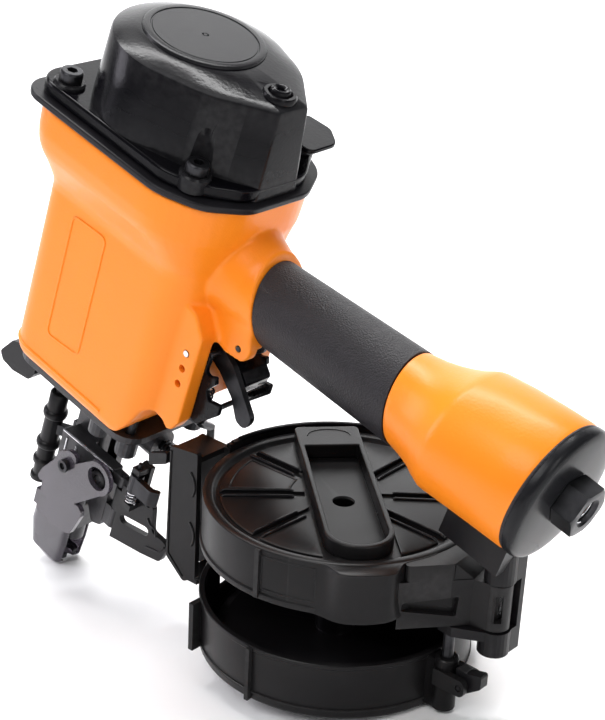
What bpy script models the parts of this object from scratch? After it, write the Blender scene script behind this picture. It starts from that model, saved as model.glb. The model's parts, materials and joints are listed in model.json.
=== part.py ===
"""Pneumatic coil nail gun, standing on its nose and on the rear edge of its magazine.

Two local frames hold the design. The magazine frame has its Z along the magazine's axis and
its origin at the middle of the cup's floor. The driver frame leans forward of it by
DRIVER_TILT, has its Z along the driver's stroke, its X along the handle, and its origin on
the driver's axis. All lengths and places below are millimetres in one of these frames.
"""
import math

import bmesh
import bpy
from mathutils import Matrix, Vector

MM = 0.001
GAP = 0.35                      # clearance between touching pieces
MODEL = "coil_nail_gun"

# --- driving dimensions -------------------------------------------------------------------
DRIVER_TILT = math.radians(17.2)      # driver's axis, measured from the magazine's axis
DRIVER_FOOT_X = -172.9                # where the driver's axis crosses the cup's floor plane
MAGAZINE_R = 62.0
CUP_RIM_Z = 27.5
COVER_LOW_Z = 52.4
COVER_TOP_Z = 76.3
HINGE_XY = (84.5, 1.5)                # magazine hinge pin, in the magazine frame

BODY_LOW_Z = 88.0
BODY_TOP_Z = 225.6
FLARE_LOW_Z = 184.0
FLARE_TOP_Z = 207.0
PLATE_Z = (226.0, 229.2)              # top guard plate
FLANGE_Z = (229.6, 237.0)             # cap's flange
CAP_WALL_TOP_Z = 270.5
CAP_TOP_Z = 275.5
SLEEVE_OUT_R = 26.0
SLEEVE_IN_R = 23.0
HANDLE_CORE = (16.0, 13.0)            # half height and half width under the grip
GRIP_FRONT = (71.0, 86.0)             # X of the grip's front end, at its top and bottom
GRIP_REAR = (152.5, 163.0)
REAR_END_X = 229.0
REAR_R = 30.7
SHIELD_LOW_Z = -38.0
SHIELD_TIP_X = -1.0                   # rear corner of the shield's foot
TRIGGER_PIVOT = (58.5, 152.0)         # X, Z
VALVE_X = 72.0
CONTACT_TRAVEL = 12.0
STAND_X = -32.3                       # shifts that put the origin under the middle
STAND_Y = 0.95


# --- scene and materials ------------------------------------------------------------------
def clear_scene():
    for item in list(bpy.data.objects):
        bpy.data.objects.remove(item, do_unlink=True)


clear_scene()
PARTS = bpy.data.collections.new(MODEL)
CUTTERS = bpy.data.collections.new("cutters")
bpy.context.scene.collection.children.link(PARTS)
bpy.context.scene.collection.children.link(CUTTERS)

FINISHES = {                           # colour, roughness, metallic
    "orange": ((0.93, 0.36, 0.05), 0.38, 0.0),
    "gloss_black": ((0.012, 0.012, 0.014), 0.18, 0.0),
    "grip_rubber": ((0.030, 0.028, 0.032), 0.75, 0.0),
    "grey_plastic": ((0.045, 0.043, 0.045), 0.45, 0.0),
    "dark_plate": ((0.035, 0.034, 0.037), 0.40, 0.3),
    "black_steel": ((0.020, 0.020, 0.022), 0.45, 0.8),
    "steel": ((0.55, 0.55, 0.56), 0.30, 1.0),
    "cast_alloy": ((0.12, 0.12, 0.125), 0.45, 0.9),
    "clear_pad": ((0.42, 0.38, 0.43), 0.35, 0.0),
    "rubber": ((0.020, 0.020, 0.020), 0.70, 0.0),
}


def make_material(name, finish):
    colour, roughness, metallic = FINISHES[finish]
    material = bpy.data.materials.new(name)
    material.use_nodes = True
    shader = material.node_tree.nodes["Principled BSDF"]
    shader.inputs["Base Color"].default_value = (*colour, 1.0)
    shader.inputs["Roughness"].default_value = roughness
    shader.inputs["Metallic"].default_value = metallic
    material.diffuse_color = (*colour, 1.0)
    return material


def add_empty(name, parent, location, rotation_y=0.0):
    empty = bpy.data.objects.new(name, None)
    PARTS.objects.link(empty)
    empty.parent = parent
    empty.location = [value * MM for value in location]
    empty.rotation_euler = (0.0, rotation_y, 0.0)
    return empty


def stance():
    """Lean and height that put the shield's tip and the cup's rear edge on the ground."""
    tip_x = DRIVER_FOOT_X + SHIELD_LOW_Z * math.sin(DRIVER_TILT) + SHIELD_TIP_X * math.cos(DRIVER_TILT)
    tip_z = SHIELD_LOW_Z * math.cos(DRIVER_TILT) - SHIELD_TIP_X * math.sin(DRIVER_TILT)
    lean = math.atan2(-tip_z, MAGAZINE_R - tip_x)
    return lean, MAGAZINE_R * math.sin(lean)


LEAN, FLOOR_Z = stance()
MAG = add_empty("magazine_frame_axes", None, (-STAND_X, -STAND_Y, FLOOR_Z), LEAN)
TOOL = add_empty("driver_frame_axes", MAG, (DRIVER_FOOT_X, 0.0, 0.0), DRIVER_TILT)


# --- shape helpers ------------------------------------------------------------------------
def finish(bm, name, frame, pivot, paint):
    """Turn a bmesh drawn in a frame's millimetres into a part, or a cutter if unpainted."""
    bmesh.ops.recalc_face_normals(bm, faces=bm.faces)
    bmesh.ops.translate(bm, verts=bm.verts, vec=-Vector(pivot))
    bmesh.ops.scale(bm, verts=bm.verts, vec=(MM, MM, MM))
    mesh = bpy.data.meshes.new(name)
    bm.to_mesh(mesh)
    bm.free()
    part = bpy.data.objects.new(name, mesh)
    part.parent = frame
    part.location = [value * MM for value in pivot]
    if paint is None:
        CUTTERS.objects.link(part)
        part.hide_render = True
        part.display_type = "WIRE"
        return part
    PARTS.objects.link(part)
    mesh.materials.append(make_material(name, paint))
    mesh.shade_smooth()
    mesh.set_sharp_from_angle(angle=math.radians(35))
    return part


def axis_matrix(axis, centre):
    turn = {"X": Matrix.Rotation(math.pi / 2, 4, "Y"), "Y": Matrix.Rotation(-math.pi / 2, 4, "X")}
    return Matrix.Translation(centre) @ turn.get(axis, Matrix.Identity(4))


def rod_mesh(bm, axis, centre, radius, length, steps=24, radius_top=None):
    """Cylinder or cone along an axis; the first radius is at the low end."""
    top = radius if radius_top is None else radius_top
    bmesh.ops.create_cone(bm, cap_ends=True, segments=steps, radius1=radius, radius2=top,
                          depth=length, matrix=axis_matrix(axis, centre))


def rod(name, frame, axis, centre, radius, length, paint=None, steps=24, pivot=None,
        radius_top=None):
    bm = bmesh.new()
    rod_mesh(bm, axis, centre, radius, length, steps, radius_top)
    return finish(bm, name, frame, pivot or centre, paint)


def box(name, frame, low, high, paint=None, pivot=None, turn_z=0.0, about=(0, 0, 0)):
    centre = [(a + b) / 2 for a, b in zip(low, high)]
    size = [b - a for a, b in zip(low, high)]
    spin = (Matrix.Translation(about) @ Matrix.Rotation(turn_z, 4, "Z")
            @ Matrix.Translation(-Vector(about)))
    bm = bmesh.new()
    shape = spin @ Matrix.Translation(centre) @ Matrix.Diagonal((*size, 1.0))
    bmesh.ops.create_cube(bm, size=1.0, matrix=shape)
    return finish(bm, name, frame, pivot or (0, 0, 0), paint)


def arc(cx, cy, radius, start, end, count):
    """Points on an arc, with angles in degrees."""
    angles = [math.radians(start + (end - start) * i / (count - 1)) for i in range(count)]
    return [(cx + radius * math.cos(a), cy + radius * math.sin(a)) for a in angles]


def rounded(corners, count=5):
    """Outline whose corners (x, y, radius) are rounded by arcs."""
    points = []
    total = len(corners)
    for i, (x, y, radius) in enumerate(corners):
        here = Vector((x, y))
        before = (Vector(corners[i - 1][:2]) - here).normalized()
        after = (Vector(corners[(i + 1) % total][:2]) - here).normalized()
        if radius <= 0.0:
            points.append((x, y))
            continue
        half = before.angle(after) / 2
        centre = here + (before + after).normalized() * radius / math.sin(half)
        start = here + before * radius / math.tan(half) - centre
        sweep = start.angle_signed(here + after * radius / math.tan(half) - centre)
        for k in range(count):
            step = Matrix.Rotation(-sweep * k / (count - 1), 2) @ start
            points.append(tuple(centre + step))
    return points


def sector(inner, outer, start, end, count):
    return arc(0, 0, outer, start, end, count) + arc(0, 0, inner, end, start, count)


def prism_mesh(outline, low, high, plane):
    """Closed flat outline as a filled 2D curve, thickened across its plane."""
    curve = bpy.data.curves.new("outline", "CURVE")
    curve.dimensions = "2D"
    curve.fill_mode = "BOTH"
    curve.extrude = (high - low) / 2
    spline = curve.splines.new("POLY")
    spline.points.add(len(outline) - 1)
    for point, (x, y) in zip(spline.points, outline):
        point.co = (x, y, 0.0, 1.0)
    spline.use_cyclic_u = True
    sketch = bpy.data.objects.new("outline", curve)
    CUTTERS.objects.link(sketch)
    graph = bpy.context.evaluated_depsgraph_get()
    mesh = bpy.data.meshes.new_from_object(sketch.evaluated_get(graph))
    bpy.data.objects.remove(sketch)
    bm = bmesh.new()
    bm.from_mesh(mesh)
    bpy.data.meshes.remove(mesh)
    bmesh.ops.remove_doubles(bm, verts=bm.verts, dist=0.001)
    middle = (low + high) / 2
    if plane == "XZ":
        placed = Matrix.Translation((0, middle, 0)) @ Matrix.Rotation(math.pi / 2, 4, "X")
    elif plane == "YZ":
        placed = Matrix.Translation((middle, 0, 0)) @ Matrix(
            ((0, 0, 1, 0), (1, 0, 0, 0), (0, 1, 0, 0), (0, 0, 0, 1)))
    else:
        placed = Matrix.Translation((0, 0, middle))
    bmesh.ops.transform(bm, matrix=placed, verts=bm.verts)
    return bm


def prism(name, frame, outline, low, high, paint=None, plane="XY", pivot=(0, 0, 0)):
    return finish(prism_mesh(outline, low, high, plane), name, frame, pivot, paint)


def loft(name, frame, sections, paint=None, pivot=(0, 0, 0)):
    """Skin through closed sections that have the same number of 3D points."""
    bm = bmesh.new()
    rings = [[bm.verts.new(point) for point in section] for section in sections]
    count = len(rings[0])
    for lower, upper in zip(rings, rings[1:]):
        for i in range(count):
            k = (i + 1) % count
            bm.faces.new((lower[i], lower[k], upper[k], upper[i]))
    bm.faces.new(rings[0][::-1])
    bm.faces.new(rings[-1])
    return finish(bm, name, frame, pivot, paint)


def turned(name, frame, profile, paint=None, steps=40, axis="Z", centre=(0, 0, 0)):
    """Screw a profile of (radius, height) points; the outer side runs top to bottom."""
    closed = profile[0][0] > 0.0
    mesh = bpy.data.meshes.new(name)
    points = [(radius * MM, 0.0, height * MM) for radius, height in profile]
    edges = [(i, i + 1) for i in range(len(points) - 1)]
    if closed:
        edges.append((len(points) - 1, 0))
    mesh.from_pydata(points, edges, [])
    part = bpy.data.objects.new(name, mesh)
    screw = part.modifiers.new("turn", "SCREW")
    screw.axis = "Z"
    screw.steps = steps
    screw.render_steps = steps
    screw.use_merge_vertices = True
    screw.merge_threshold = 0.000005
    screw.use_smooth_shade = True
    part.parent = frame
    part.location = [value * MM for value in centre]
    part.rotation_euler = {"X": (0, math.pi / 2, 0), "Y": (-math.pi / 2, 0, 0)}.get(axis, (0, 0, 0))
    if paint is None:
        CUTTERS.objects.link(part)
        part.hide_render = True
        part.display_type = "WIRE"
        return part
    PARTS.objects.link(part)
    mesh.materials.append(make_material(name, paint))
    return part


def tube(radius, low, high, bore=0.0):
    """Profile of a plain disc or ring for turned()."""
    if bore <= 0.0:
        return [(0, high), (radius, high), (radius, low), (0, low)]
    return [(bore, high), (radius, high), (radius, low), (bore, low)]


def coil(name, frame, centre, radius, wire, length, turns, paint, axis="Z"):
    """Open helical spring as a bevelled curve."""
    curve = bpy.data.curves.new(name, "CURVE")
    curve.dimensions = "3D"
    curve.bevel_depth = wire * MM
    curve.bevel_resolution = 1
    curve.use_fill_caps = True
    spline = curve.splines.new("POLY")
    per_turn = 10
    total = int(turns * per_turn)
    spline.points.add(total)
    for i, point in enumerate(spline.points):
        angle = 2 * math.pi * i / per_turn
        across = (radius * math.cos(angle), radius * math.sin(angle))
        along = -length / 2 + length * i / total
        place = {"X": (along, *across), "Y": (across[0], along, across[1])}.get(axis, (*across, along))
        point.co = (*[value * MM for value in place], 1.0)
    part = bpy.data.objects.new(name, curve)
    PARTS.objects.link(part)
    part.parent = frame
    part.location = [value * MM for value in centre]
    curve.materials.append(make_material(name, paint))
    return part


def wire_mesh(points, radius, steps=8):
    """Bent rod through points as a closed mesh, drawn in millimetres."""
    curve = bpy.data.curves.new("wire", "CURVE")
    curve.dimensions = "3D"
    curve.bevel_depth = radius
    curve.bevel_resolution = max(0, steps // 4 - 1)
    curve.use_fill_caps = True
    spline = curve.splines.new("POLY")
    spline.points.add(len(points) - 1)
    for point, place in zip(spline.points, points):
        point.co = (*place, 1.0)
    sketch = bpy.data.objects.new("wire", curve)
    CUTTERS.objects.link(sketch)
    graph = bpy.context.evaluated_depsgraph_get()
    mesh = bpy.data.meshes.new_from_object(sketch.evaluated_get(graph))
    bpy.data.objects.remove(sketch)
    bm = bmesh.new()
    bm.from_mesh(mesh)
    bpy.data.meshes.remove(mesh)
    bmesh.ops.remove_doubles(bm, verts=bm.verts, dist=0.001)
    return bm


def boolean(part, other, operation):
    modifier = part.modifiers.new(other.name, "BOOLEAN")
    modifier.operation = operation
    modifier.object = other
    modifier.solver = "EXACT"


def cut(part, *cutters):
    for cutter in cutters:
        boolean(part, cutter, "DIFFERENCE")


def join(part, *others):
    for other in others:
        boolean(part, other, "UNION")


def soften(part, width, segments=2, angle=40):
    bevel = part.modifiers.new("edges", "BEVEL")
    bevel.width = width * MM
    bevel.segments = segments
    bevel.limit_method = "ANGLE"
    bevel.angle_limit = math.radians(angle)
    bevel.use_clamp_overlap = True


# --- main housing, handle and rear end ----------------------------------------------------
def body_outline(front, rear, half, front_r, rear_r):
    return rounded([(front, -half, front_r), (rear, -half, rear_r),
                    (rear, half, rear_r), (front, half, front_r)], 8)


def ellipse(x, middle, high, wide, count=32):
    """Section across the handle, in the plane of one X."""
    angles = [2 * math.pi * i / count for i in range(count)]
    return [(x, wide * math.cos(a), middle + high * math.sin(a)) for a in angles]


def handle_middle(x):
    return 184.3 + 0.047 * (x - 78.0)


def slanted(name, top_x, low_x, far_x):
    """Cutter on one side of a plane that leans along the handle."""
    slope = (low_x - top_x) / 50.0
    outline = [(top_x - 20 * slope, 230.0), (low_x + 20 * slope, 140.0), (far_x, 140.0), (far_x, 230.0)]
    return prism(name, TOOL, outline, -45, 45, plane="XZ")


def body_sections():
    rows = [
        (BODY_LOW_Z, -41, 53, 31, 13, 18),
        (BODY_LOW_Z + 3, -44, 56, 34, 14, 20),
        (FLARE_LOW_Z, -44, 56, 34, 14, 20),
        (FLARE_LOW_Z + 7, -45.5, 56.5, 36, 15, 22),
        (FLARE_LOW_Z + 14, -48, 58, 40, 17, 27),
        (FLARE_TOP_Z, -51.5, 60, 44.5, 19, 33),
        (FLARE_TOP_Z + 7, -52.5, 60.5, 45.5, 20, 35),
        (BODY_TOP_Z, -53, 60.5, 45.5, 20, 35),
    ]
    return [[(x, y, z) for x, y in body_outline(*plan)] for z, *plan in rows]


def main_housing():
    housing = loft("main_housing", TOOL, body_sections(), "orange")
    lower_rear = prism("housing_lower_rear", TOOL,
                       [(28, 60), (30, 88), (37, 93), (42, 101), (46, 111), (52, 114), (80, 114),
                        (80, 60)], -50, 50, plane="XZ")
    cut(housing, lower_rear)
    neck = loft("housing_neck", TOOL, [
        ellipse(30, 192, 26, 24), ellipse(48, 190, 30, 24), ellipse(56, 188.5, 27, 21.5),
        ellipse(64, 186.5, 23.5, 19), ellipse(74, 185, 21, 17.6), ellipse(95, 185, 20, 17.3)])
    cut(neck, slanted("neck_end", GRIP_FRONT[0], GRIP_FRONT[1], 120))
    rear = loft("housing_rear", TOOL, [
        ellipse(140, 187, 20, 17.5), ellipse(156, 188, 21.6, 18.6), ellipse(164, 188.6, 24, 21.5),
        ellipse(174, 190.2, 27.2, 25.6), ellipse(186, 192.2, 29.6, 28.8),
        ellipse(200, 194, 30.5, 30.3), ellipse(REAR_END_X, 196.2, REAR_R, REAR_R)])
    cut(rear, slanted("rear_start", GRIP_REAR[0], GRIP_REAR[1], 90))
    core = loft("handle_core", TOOL, [
        ellipse(60, handle_middle(60), *HANDLE_CORE), ellipse(180, handle_middle(180), *HANDLE_CORE)])
    join(housing, neck, core, rear)
    for side, sign in (("near", -1), ("far", 1)):
        faces = sorted((sign * 20.5, sign * 27.0))
        rib = prism(f"rear_rib_{side}", TOOL,
                    rounded([(46, 170, 1), (60, 170, 4), (64.5, 163, 3), (64.5, 116, 3),
                             (60, 107.5, 3), (46, 120, 1)], 4), *faces, plane="XZ")
        cheek_faces = sorted((sign * 12.5, sign * 16.5))
        cheek = prism(f"trigger_cheek_{side}", TOOL,
                      rounded([(52, 180, 1), (52, 160, 2), (64, 158, 3), (76, 157.5, 4),
                               (83.5, 160, 3), (83.5, 165, 2), (79, 180, 1)], 4), *cheek_faces, plane="XZ")
        panel_faces = sorted((sign * 33.5, sign * 34.7))
        border = prism(f"panel_border_{side}", TOOL,
                       rounded([(-19, 112, 3), (3, 114, 3), (3, 197, 3), (-19, 194, 3)], 3),
                       *panel_faces, plane="XZ")
        inner_faces = sorted((sign * 34.0, sign * 36.0))
        inner = prism(f"panel_inner_{side}", TOOL,
                      rounded([(-17.4, 113.8, 2), (1.4, 115.6, 2), (1.4, 195, 2), (-17.4, 192.2, 2)], 3),
                      *inner_faces, plane="XZ")
        cut(border, inner)
        join(housing, rib, cheek, border)
    cavity = turned("housing_cavity", TOOL, tube(30.0, 98, 230), steps=40)
    cut(housing, cavity, rod("driver_hole", TOOL, "Z", (0, 0, 92), 7.0, 30))
    passage = loft("air_passage", TOOL, [
        ellipse(20, handle_middle(20), 10, 8.5, 20), ellipse(176, handle_middle(176), 10, 8.5, 20)])
    chamber = loft("rear_chamber", TOOL, [
        ellipse(170, 190, 16, 15, 24), ellipse(190, 192.5, 23, 23, 24), ellipse(212, 195.6, 24.6, 24.6, 24),
        ellipse(220, 196.2, 25.1, 25.1, 24), ellipse(236, 196.2, 25.1, 25.1, 24)])
    cut(housing, passage, chamber)
    cut(housing, rod("valve_bore", TOOL, "Z", (VALVE_X, 0, 160), 7.2 + GAP, 50),
        box("trigger_pocket", TOOL, (50, -12.3, 139), (60, 8.7, 164)))
    for index, height in enumerate((152.0, 143.5, 135.0)):
        cut(housing, rod(f"rib_hole_{index + 1}", TOOL, "Y", (TRIGGER_PIVOT[0], 0, height), 1.9, 70, steps=12))
    cut(housing, rod("valve_pin_hole", TOOL, "Y", (77, -14.5, 164.0), 1.55, 10, steps=12))
    for x, y in cap_screw_places():
        cut(housing, rod("cap_screw_hole", TOOL, "Z", (x, y, 214), 2.4, 24, steps=12))
    for x, y, _ in NOSE_BOLTS:
        cut(housing, rod("nose_bolt_hole", TOOL, "Z", (x, y, 94), 2.9, 30, steps=12))
    return housing


def cap_screw_places():
    return [(-38.5, -34.5), (41.0, -32.5), (41.0, 32.5), (-38.5, 34.5)]


NOSE_BOLTS = [(18.0, -23.0, 84.0), (36.0, -22.0, 84.0), (18.0, 23.0, 84.0), (36.0, 22.0, 84.0)]


def grip_sleeve():
    sections = [ellipse(x, handle_middle(x), 19.6 + 0.026 * (x - 70), 17.0 + 0.02 * (x - 70))
                for x in (60, 90, 120, 150, 175)]
    sleeve = loft("grip_sleeve", TOOL, sections, "grip_rubber")
    wall = loft("grip_bore", TOOL, [
        ellipse(50, handle_middle(50), HANDLE_CORE[0] + GAP, HANDLE_CORE[1] + GAP),
        ellipse(190, handle_middle(190), HANDLE_CORE[0] + GAP, HANDLE_CORE[1] + GAP)])
    cut(sleeve, wall, slanted("grip_front_trim", GRIP_FRONT[0] + GAP, GRIP_FRONT[1] + GAP, 20),
        slanted("grip_rear_trim", GRIP_REAR[0] - GAP, GRIP_REAR[1] - GAP, 220))
    return sleeve


# --- cap, guard plate and what sits in the cylinder ---------------------------------------
def cap_outline(radius, rear, rear_half):
    """Round at the front and drawn out to a narrow flat at the rear."""
    reach = rear - radius * 0.25
    side = radius * math.sin(math.radians(55))
    front = arc(0, 0, radius, 55, 305, 27)
    return front + [(radius * 0.82, -side * 0.93), (reach, -rear_half - 9), (rear, -rear_half),
                    (rear, rear_half), (reach, rear_half + 9), (radius * 0.82, side * 0.93)]


def plate_outline(inset=0.0):
    return rounded([(-57 + inset, -46.5 + inset, 13), (34, -46.5 + inset, 14),
                    (53 - inset, -37 + inset, 9), (64 - inset, -19, 13), (64 - inset, 19, 13),
                    (53 - inset, 37 - inset, 9), (34, 46.5 - inset, 14),
                    (-57 + inset, 46.5 - inset, 13)], 5)


def cylinder_cap():
    def ring(z, radius, rear, half):
        return [(x, y, z) for x, y in cap_outline(radius, rear, half)]
    cap = loft("cylinder_cap", TOOL, [
        ring(FLANGE_Z[0] + 1, 41.6, 60.0, 12), ring(FLANGE_Z[1], 41.4, 59.6, 11.5),
        ring(CAP_WALL_TOP_Z - 1.2, 39.6, 56.4, 8.5), ring(CAP_WALL_TOP_Z, 38.6, 55.4, 8.0),
        ring(CAP_TOP_Z - 2.0, 31.0, 44.0, 7.0), ring(CAP_TOP_Z - 1.4, 28.2, 29.0, 14.0)], "gloss_black")
    flange = prism("cap_flange", TOOL, plate_outline(4.0), FLANGE_Z[0], FLANGE_Z[1])
    disc = rod("cap_disc", TOOL, "Z", (0, 0, CAP_TOP_Z - 1.0), 27.6, 2.0, steps=40)
    join(cap, flange, disc)
    for index, (x, y) in enumerate(cap_screw_places()):
        join(cap, rod(f"cap_boss_{index + 1}", TOOL, "Z", (x * 0.98, y * 0.98, 234.0), 7.0, 6.6))
    cut(cap, turned("cap_cavity", TOOL, tube(34.0, 220, 266), steps=40))
    for index, (x, y) in enumerate(cap_screw_places()):
        cut(cap, rod(f"cap_hole_{index + 1}", TOOL, "Z", (x, y, 232), 2.5, 24, steps=12),
            rod(f"cap_pocket_{index + 1}", TOOL, "Z", (x, y, 254), 6.2, 33.0))
    cut(cap, rod("plug_seat", TOOL, "Z", (47, 0, 272), 4.9, 12.0))
    return cap


def cap_fittings():
    plate = prism("top_guard_plate", TOOL, plate_outline(), *PLATE_Z, paint="grey_plastic")
    cut(plate, rod("plate_opening", TOOL, "Z", (0, 0, 226), 31.0, 20, steps=40))
    for index, (x, y) in enumerate(cap_screw_places()):
        cut(plate, rod(f"plate_hole_{index + 1}", TOOL, "Z", (x, y, 226), 2.6, 20, steps=12))
        head = [(0, 239.4), (2.6, 239.4), (2.6, 242.4), (5.2, 242.4), (5.2, 237.5 + GAP),
                (2.1, 237.5 + GAP), (2.1, 206.0), (0, 206.0)]
        turned(f"cap_screw_{index + 1}", TOOL, head, "black_steel", steps=16, centre=(x, y, 0))
    turned("cap_plug", TOOL, [(0, 275.2), (2.6, 275.2), (2.6, 274.0), (4.4, 274.0), (4.4, 267.0),
                              (0, 267.0)], "black_steel", steps=24, centre=(47, 0, 0))
    louvre = prism("exhaust_louvre", TOOL, sector(42.4, 44.6, 122, 164, 12), 246, 266, "gloss_black")
    for index in range(3):
        slot = prism(f"louvre_slot_{index + 1}", TOOL, sector(43.4, 46.0, 126, 160, 10),
                     249.5 + 4.6 * index, 252.1 + 4.6 * index)
        cut(louvre, slot)


def cylinder_parts():
    turned("cylinder_sleeve", TOOL, [
        (SLEEVE_IN_R, 205), (29.4, 205), (29.4, 200), (SLEEVE_OUT_R, 197), (SLEEVE_OUT_R, 99),
        (SLEEVE_IN_R, 99)], "steel")
    turned("bumper", TOOL, [(6.0, 112), (10.0, 116), (20.0, 116), (SLEEVE_IN_R - GAP, 112),
                            (SLEEVE_IN_R - GAP, 99), (6.0, 99)], "rubber", steps=32)
    turned("piston", TOOL, [(0, 201), (14, 201), (17, 203.5), (SLEEVE_IN_R - GAP, 203.5),
                            (SLEEVE_IN_R - GAP, 198.5), (21.2, 198.5), (21.2, 196.5),
                            (SLEEVE_IN_R - GAP, 196.5), (SLEEVE_IN_R - GAP, 193), (0, 193)],
           "cast_alloy", steps=32)
    turned("driver_blade", TOOL, [(0, 192.6), (5.5, 192.6), (5.5, 188.0), (3.2, 186.0), (3.2, 62.0),
                                  (0, 62.0)], "steel", steps=16)
    turned("head_valve", TOOL, [(0, 214), (26, 214), (26, 217.5), (29.5, 217.5), (29.5, 205.8),
                                (24.0, 205.8), (20.0, 208.5), (0, 208.5)], "grey_plastic", steps=32)
    coil("head_valve_spring", TOOL, (0, 0, 240.5), 15.0, 1.1, 46.0, 5, "steel")


# --- rear end cap and air inlet -----------------------------------------------------------
def rear_end():
    middle = (0, 0, 196.2)
    seal = turned("end_cap_seal", TOOL, tube(27.8, 229.2, 230.3, 25.5), "rubber", steps=40, axis="X",
                  centre=middle)
    del seal
    cap = turned("end_cap", TOOL, [
        (8.2, 238.4), (25.0, 238.4), (27.0, 236.6), (28.6, 236.6), (30.7, 235.0), (30.7, 230.6),
        (24.6, 230.6), (24.6, 224.0), (20.0, 224.0), (20.0, 232.0), (8.2, 232.0)],
        "gloss_black", steps=40, axis="X", centre=middle)
    for index in range(2):
        lug = rod(f"end_cap_lug_{index + 1}", TOOL, "X", (235.2, 0, 196.2 + 22.5 * (1 - 2 * index)), 3.4, 6.6)
        join(cap, lug)
    inlet = rod("air_inlet", TOOL, "X", (243.4, 0, 197.4), 11.8, 9.2, "black_steel", steps=6)
    join(inlet, rod("inlet_shank", TOOL, "X", (233, 0, 197.4), 7.0, 16.0))
    cut(inlet, rod("inlet_bore", TOOL, "X", (240, 0, 197.4), 5.6, 60))
    soften(inlet, 0.5, 1)


# --- trigger group ------------------------------------------------------------------------
def trigger_group():
    pivot = (TRIGGER_PIVOT[0], 0, TRIGGER_PIVOT[1])
    trigger = prism("trigger", TOOL,
                    rounded([(53, 157, 4), (64, 157.5, 3), (70, 149.5, 2), (77, 147.5, 2), (81.5, 143.5, 2),
                             (79, 135.5, 3), (76, 135, 4), (62, 141, 3), (53, 146, 4)], 4),
                    -8, 8, "gloss_black", "XZ", pivot)
    cut(trigger, rod("trigger_bore", TOOL, "Y", pivot, 1.6 + GAP, 30, steps=12))
    turned("trigger_pin", TOOL, tube(1.5, -27.5, 27.5), "steel", steps=12, axis="Y", centre=pivot)
    lever = prism("trip_lever", TOOL,
                  rounded([(55, 156, 2), (63, 156.5, 2), (74, 150, 4), (82, 142, 4), (92, 132, 4),
                           (90, 124.5, 3.5), (84, 126, 3.5), (78, 135, 4), (66, 144, 3), (56, 149, 2)], 4),
                  -11.6, -8.6, "dark_plate", "XZ", (pivot[0], -10.1, pivot[2]))
    cut(lever, rod("lever_bore", TOOL, "Y", (pivot[0], -10.1, pivot[2]), 1.6 + GAP, 10, steps=12))
    turned("trigger_valve_body", TOOL, [
        (2.6, 176.0), (7.2, 176.0), (7.2, 157.5), (2.6, 157.5)],
        "grey_plastic", steps=24, centre=(VALVE_X, 0, 0))
    turned("valve_stem", TOOL, [(0, 171.0), (2.2, 171.0), (2.2, 152.6), (1.6, 152.0), (0, 152.0)],
           "steel", steps=16, centre=(VALVE_X, 0, 0))
    rod("valve_pin", TOOL, "Y", (77, -14.6, 164.0), 1.2, 4.4, "black_steel", steps=12)


# --- nose ---------------------------------------------------------------------------------
WHEEL = (26.0, 50.4)                  # X, Z of the depth wheel's axis
DOOR_HINGE = (36.0, -17.2)            # X, Y of the nose door's pin
HOOK = (28.0, 53.6)                   # X, Z of the eye in the shield's strap
LATCH = (49.0, -24.4)                 # X, Y of the latch's pin
LINK_TOP = (62.5, -10.4)              # X, Y of the contact link's upper rod


def nose_base():
    plate = prism("nose_base_plate", TOOL, body_outline(-42, 43, 30, 12, 12), 84, 87.6, "cast_alloy")
    join(plate, rod("tube_post", TOOL, "Z", (-25.0, -8.0, 68), 2.3, 34, steps=16))
    cut(plate, rod("base_hole", TOOL, "Z", (0, 0, 86), 6.0, 12))
    for index, (x, y, z) in enumerate(NOSE_BOLTS):
        cut(plate, rod(f"base_bolt_hole_{index + 1}", TOOL, "Z", (x, y, 86), 2.9, 12, steps=12))
        turned(f"nose_bolt_{index + 1}", TOOL, [
            (0, 101.0), (2.5, 101.0), (2.5, z - GAP), (5.4, z - GAP), (5.4, z - 9.0), (2.8, z - 9.0),
            (2.8, z - 5.0), (0, z - 5.0)], "cast_alloy", steps=16, centre=(x, y, 0))
    bumper = prism("front_bumper", TOOL,
                   rounded([(-32, 83.6, 1), (-44, 83.6, 1), (-51, 81, 2), (-58, 70, 2), (-55, 66, 2),
                            (-47, 65, 3), (-35, 67.5, 3), (-32, 73, 2)], 3), -22, 22, "grey_plastic", "XZ")
    soften(bumper, 1.2, 1)


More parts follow.
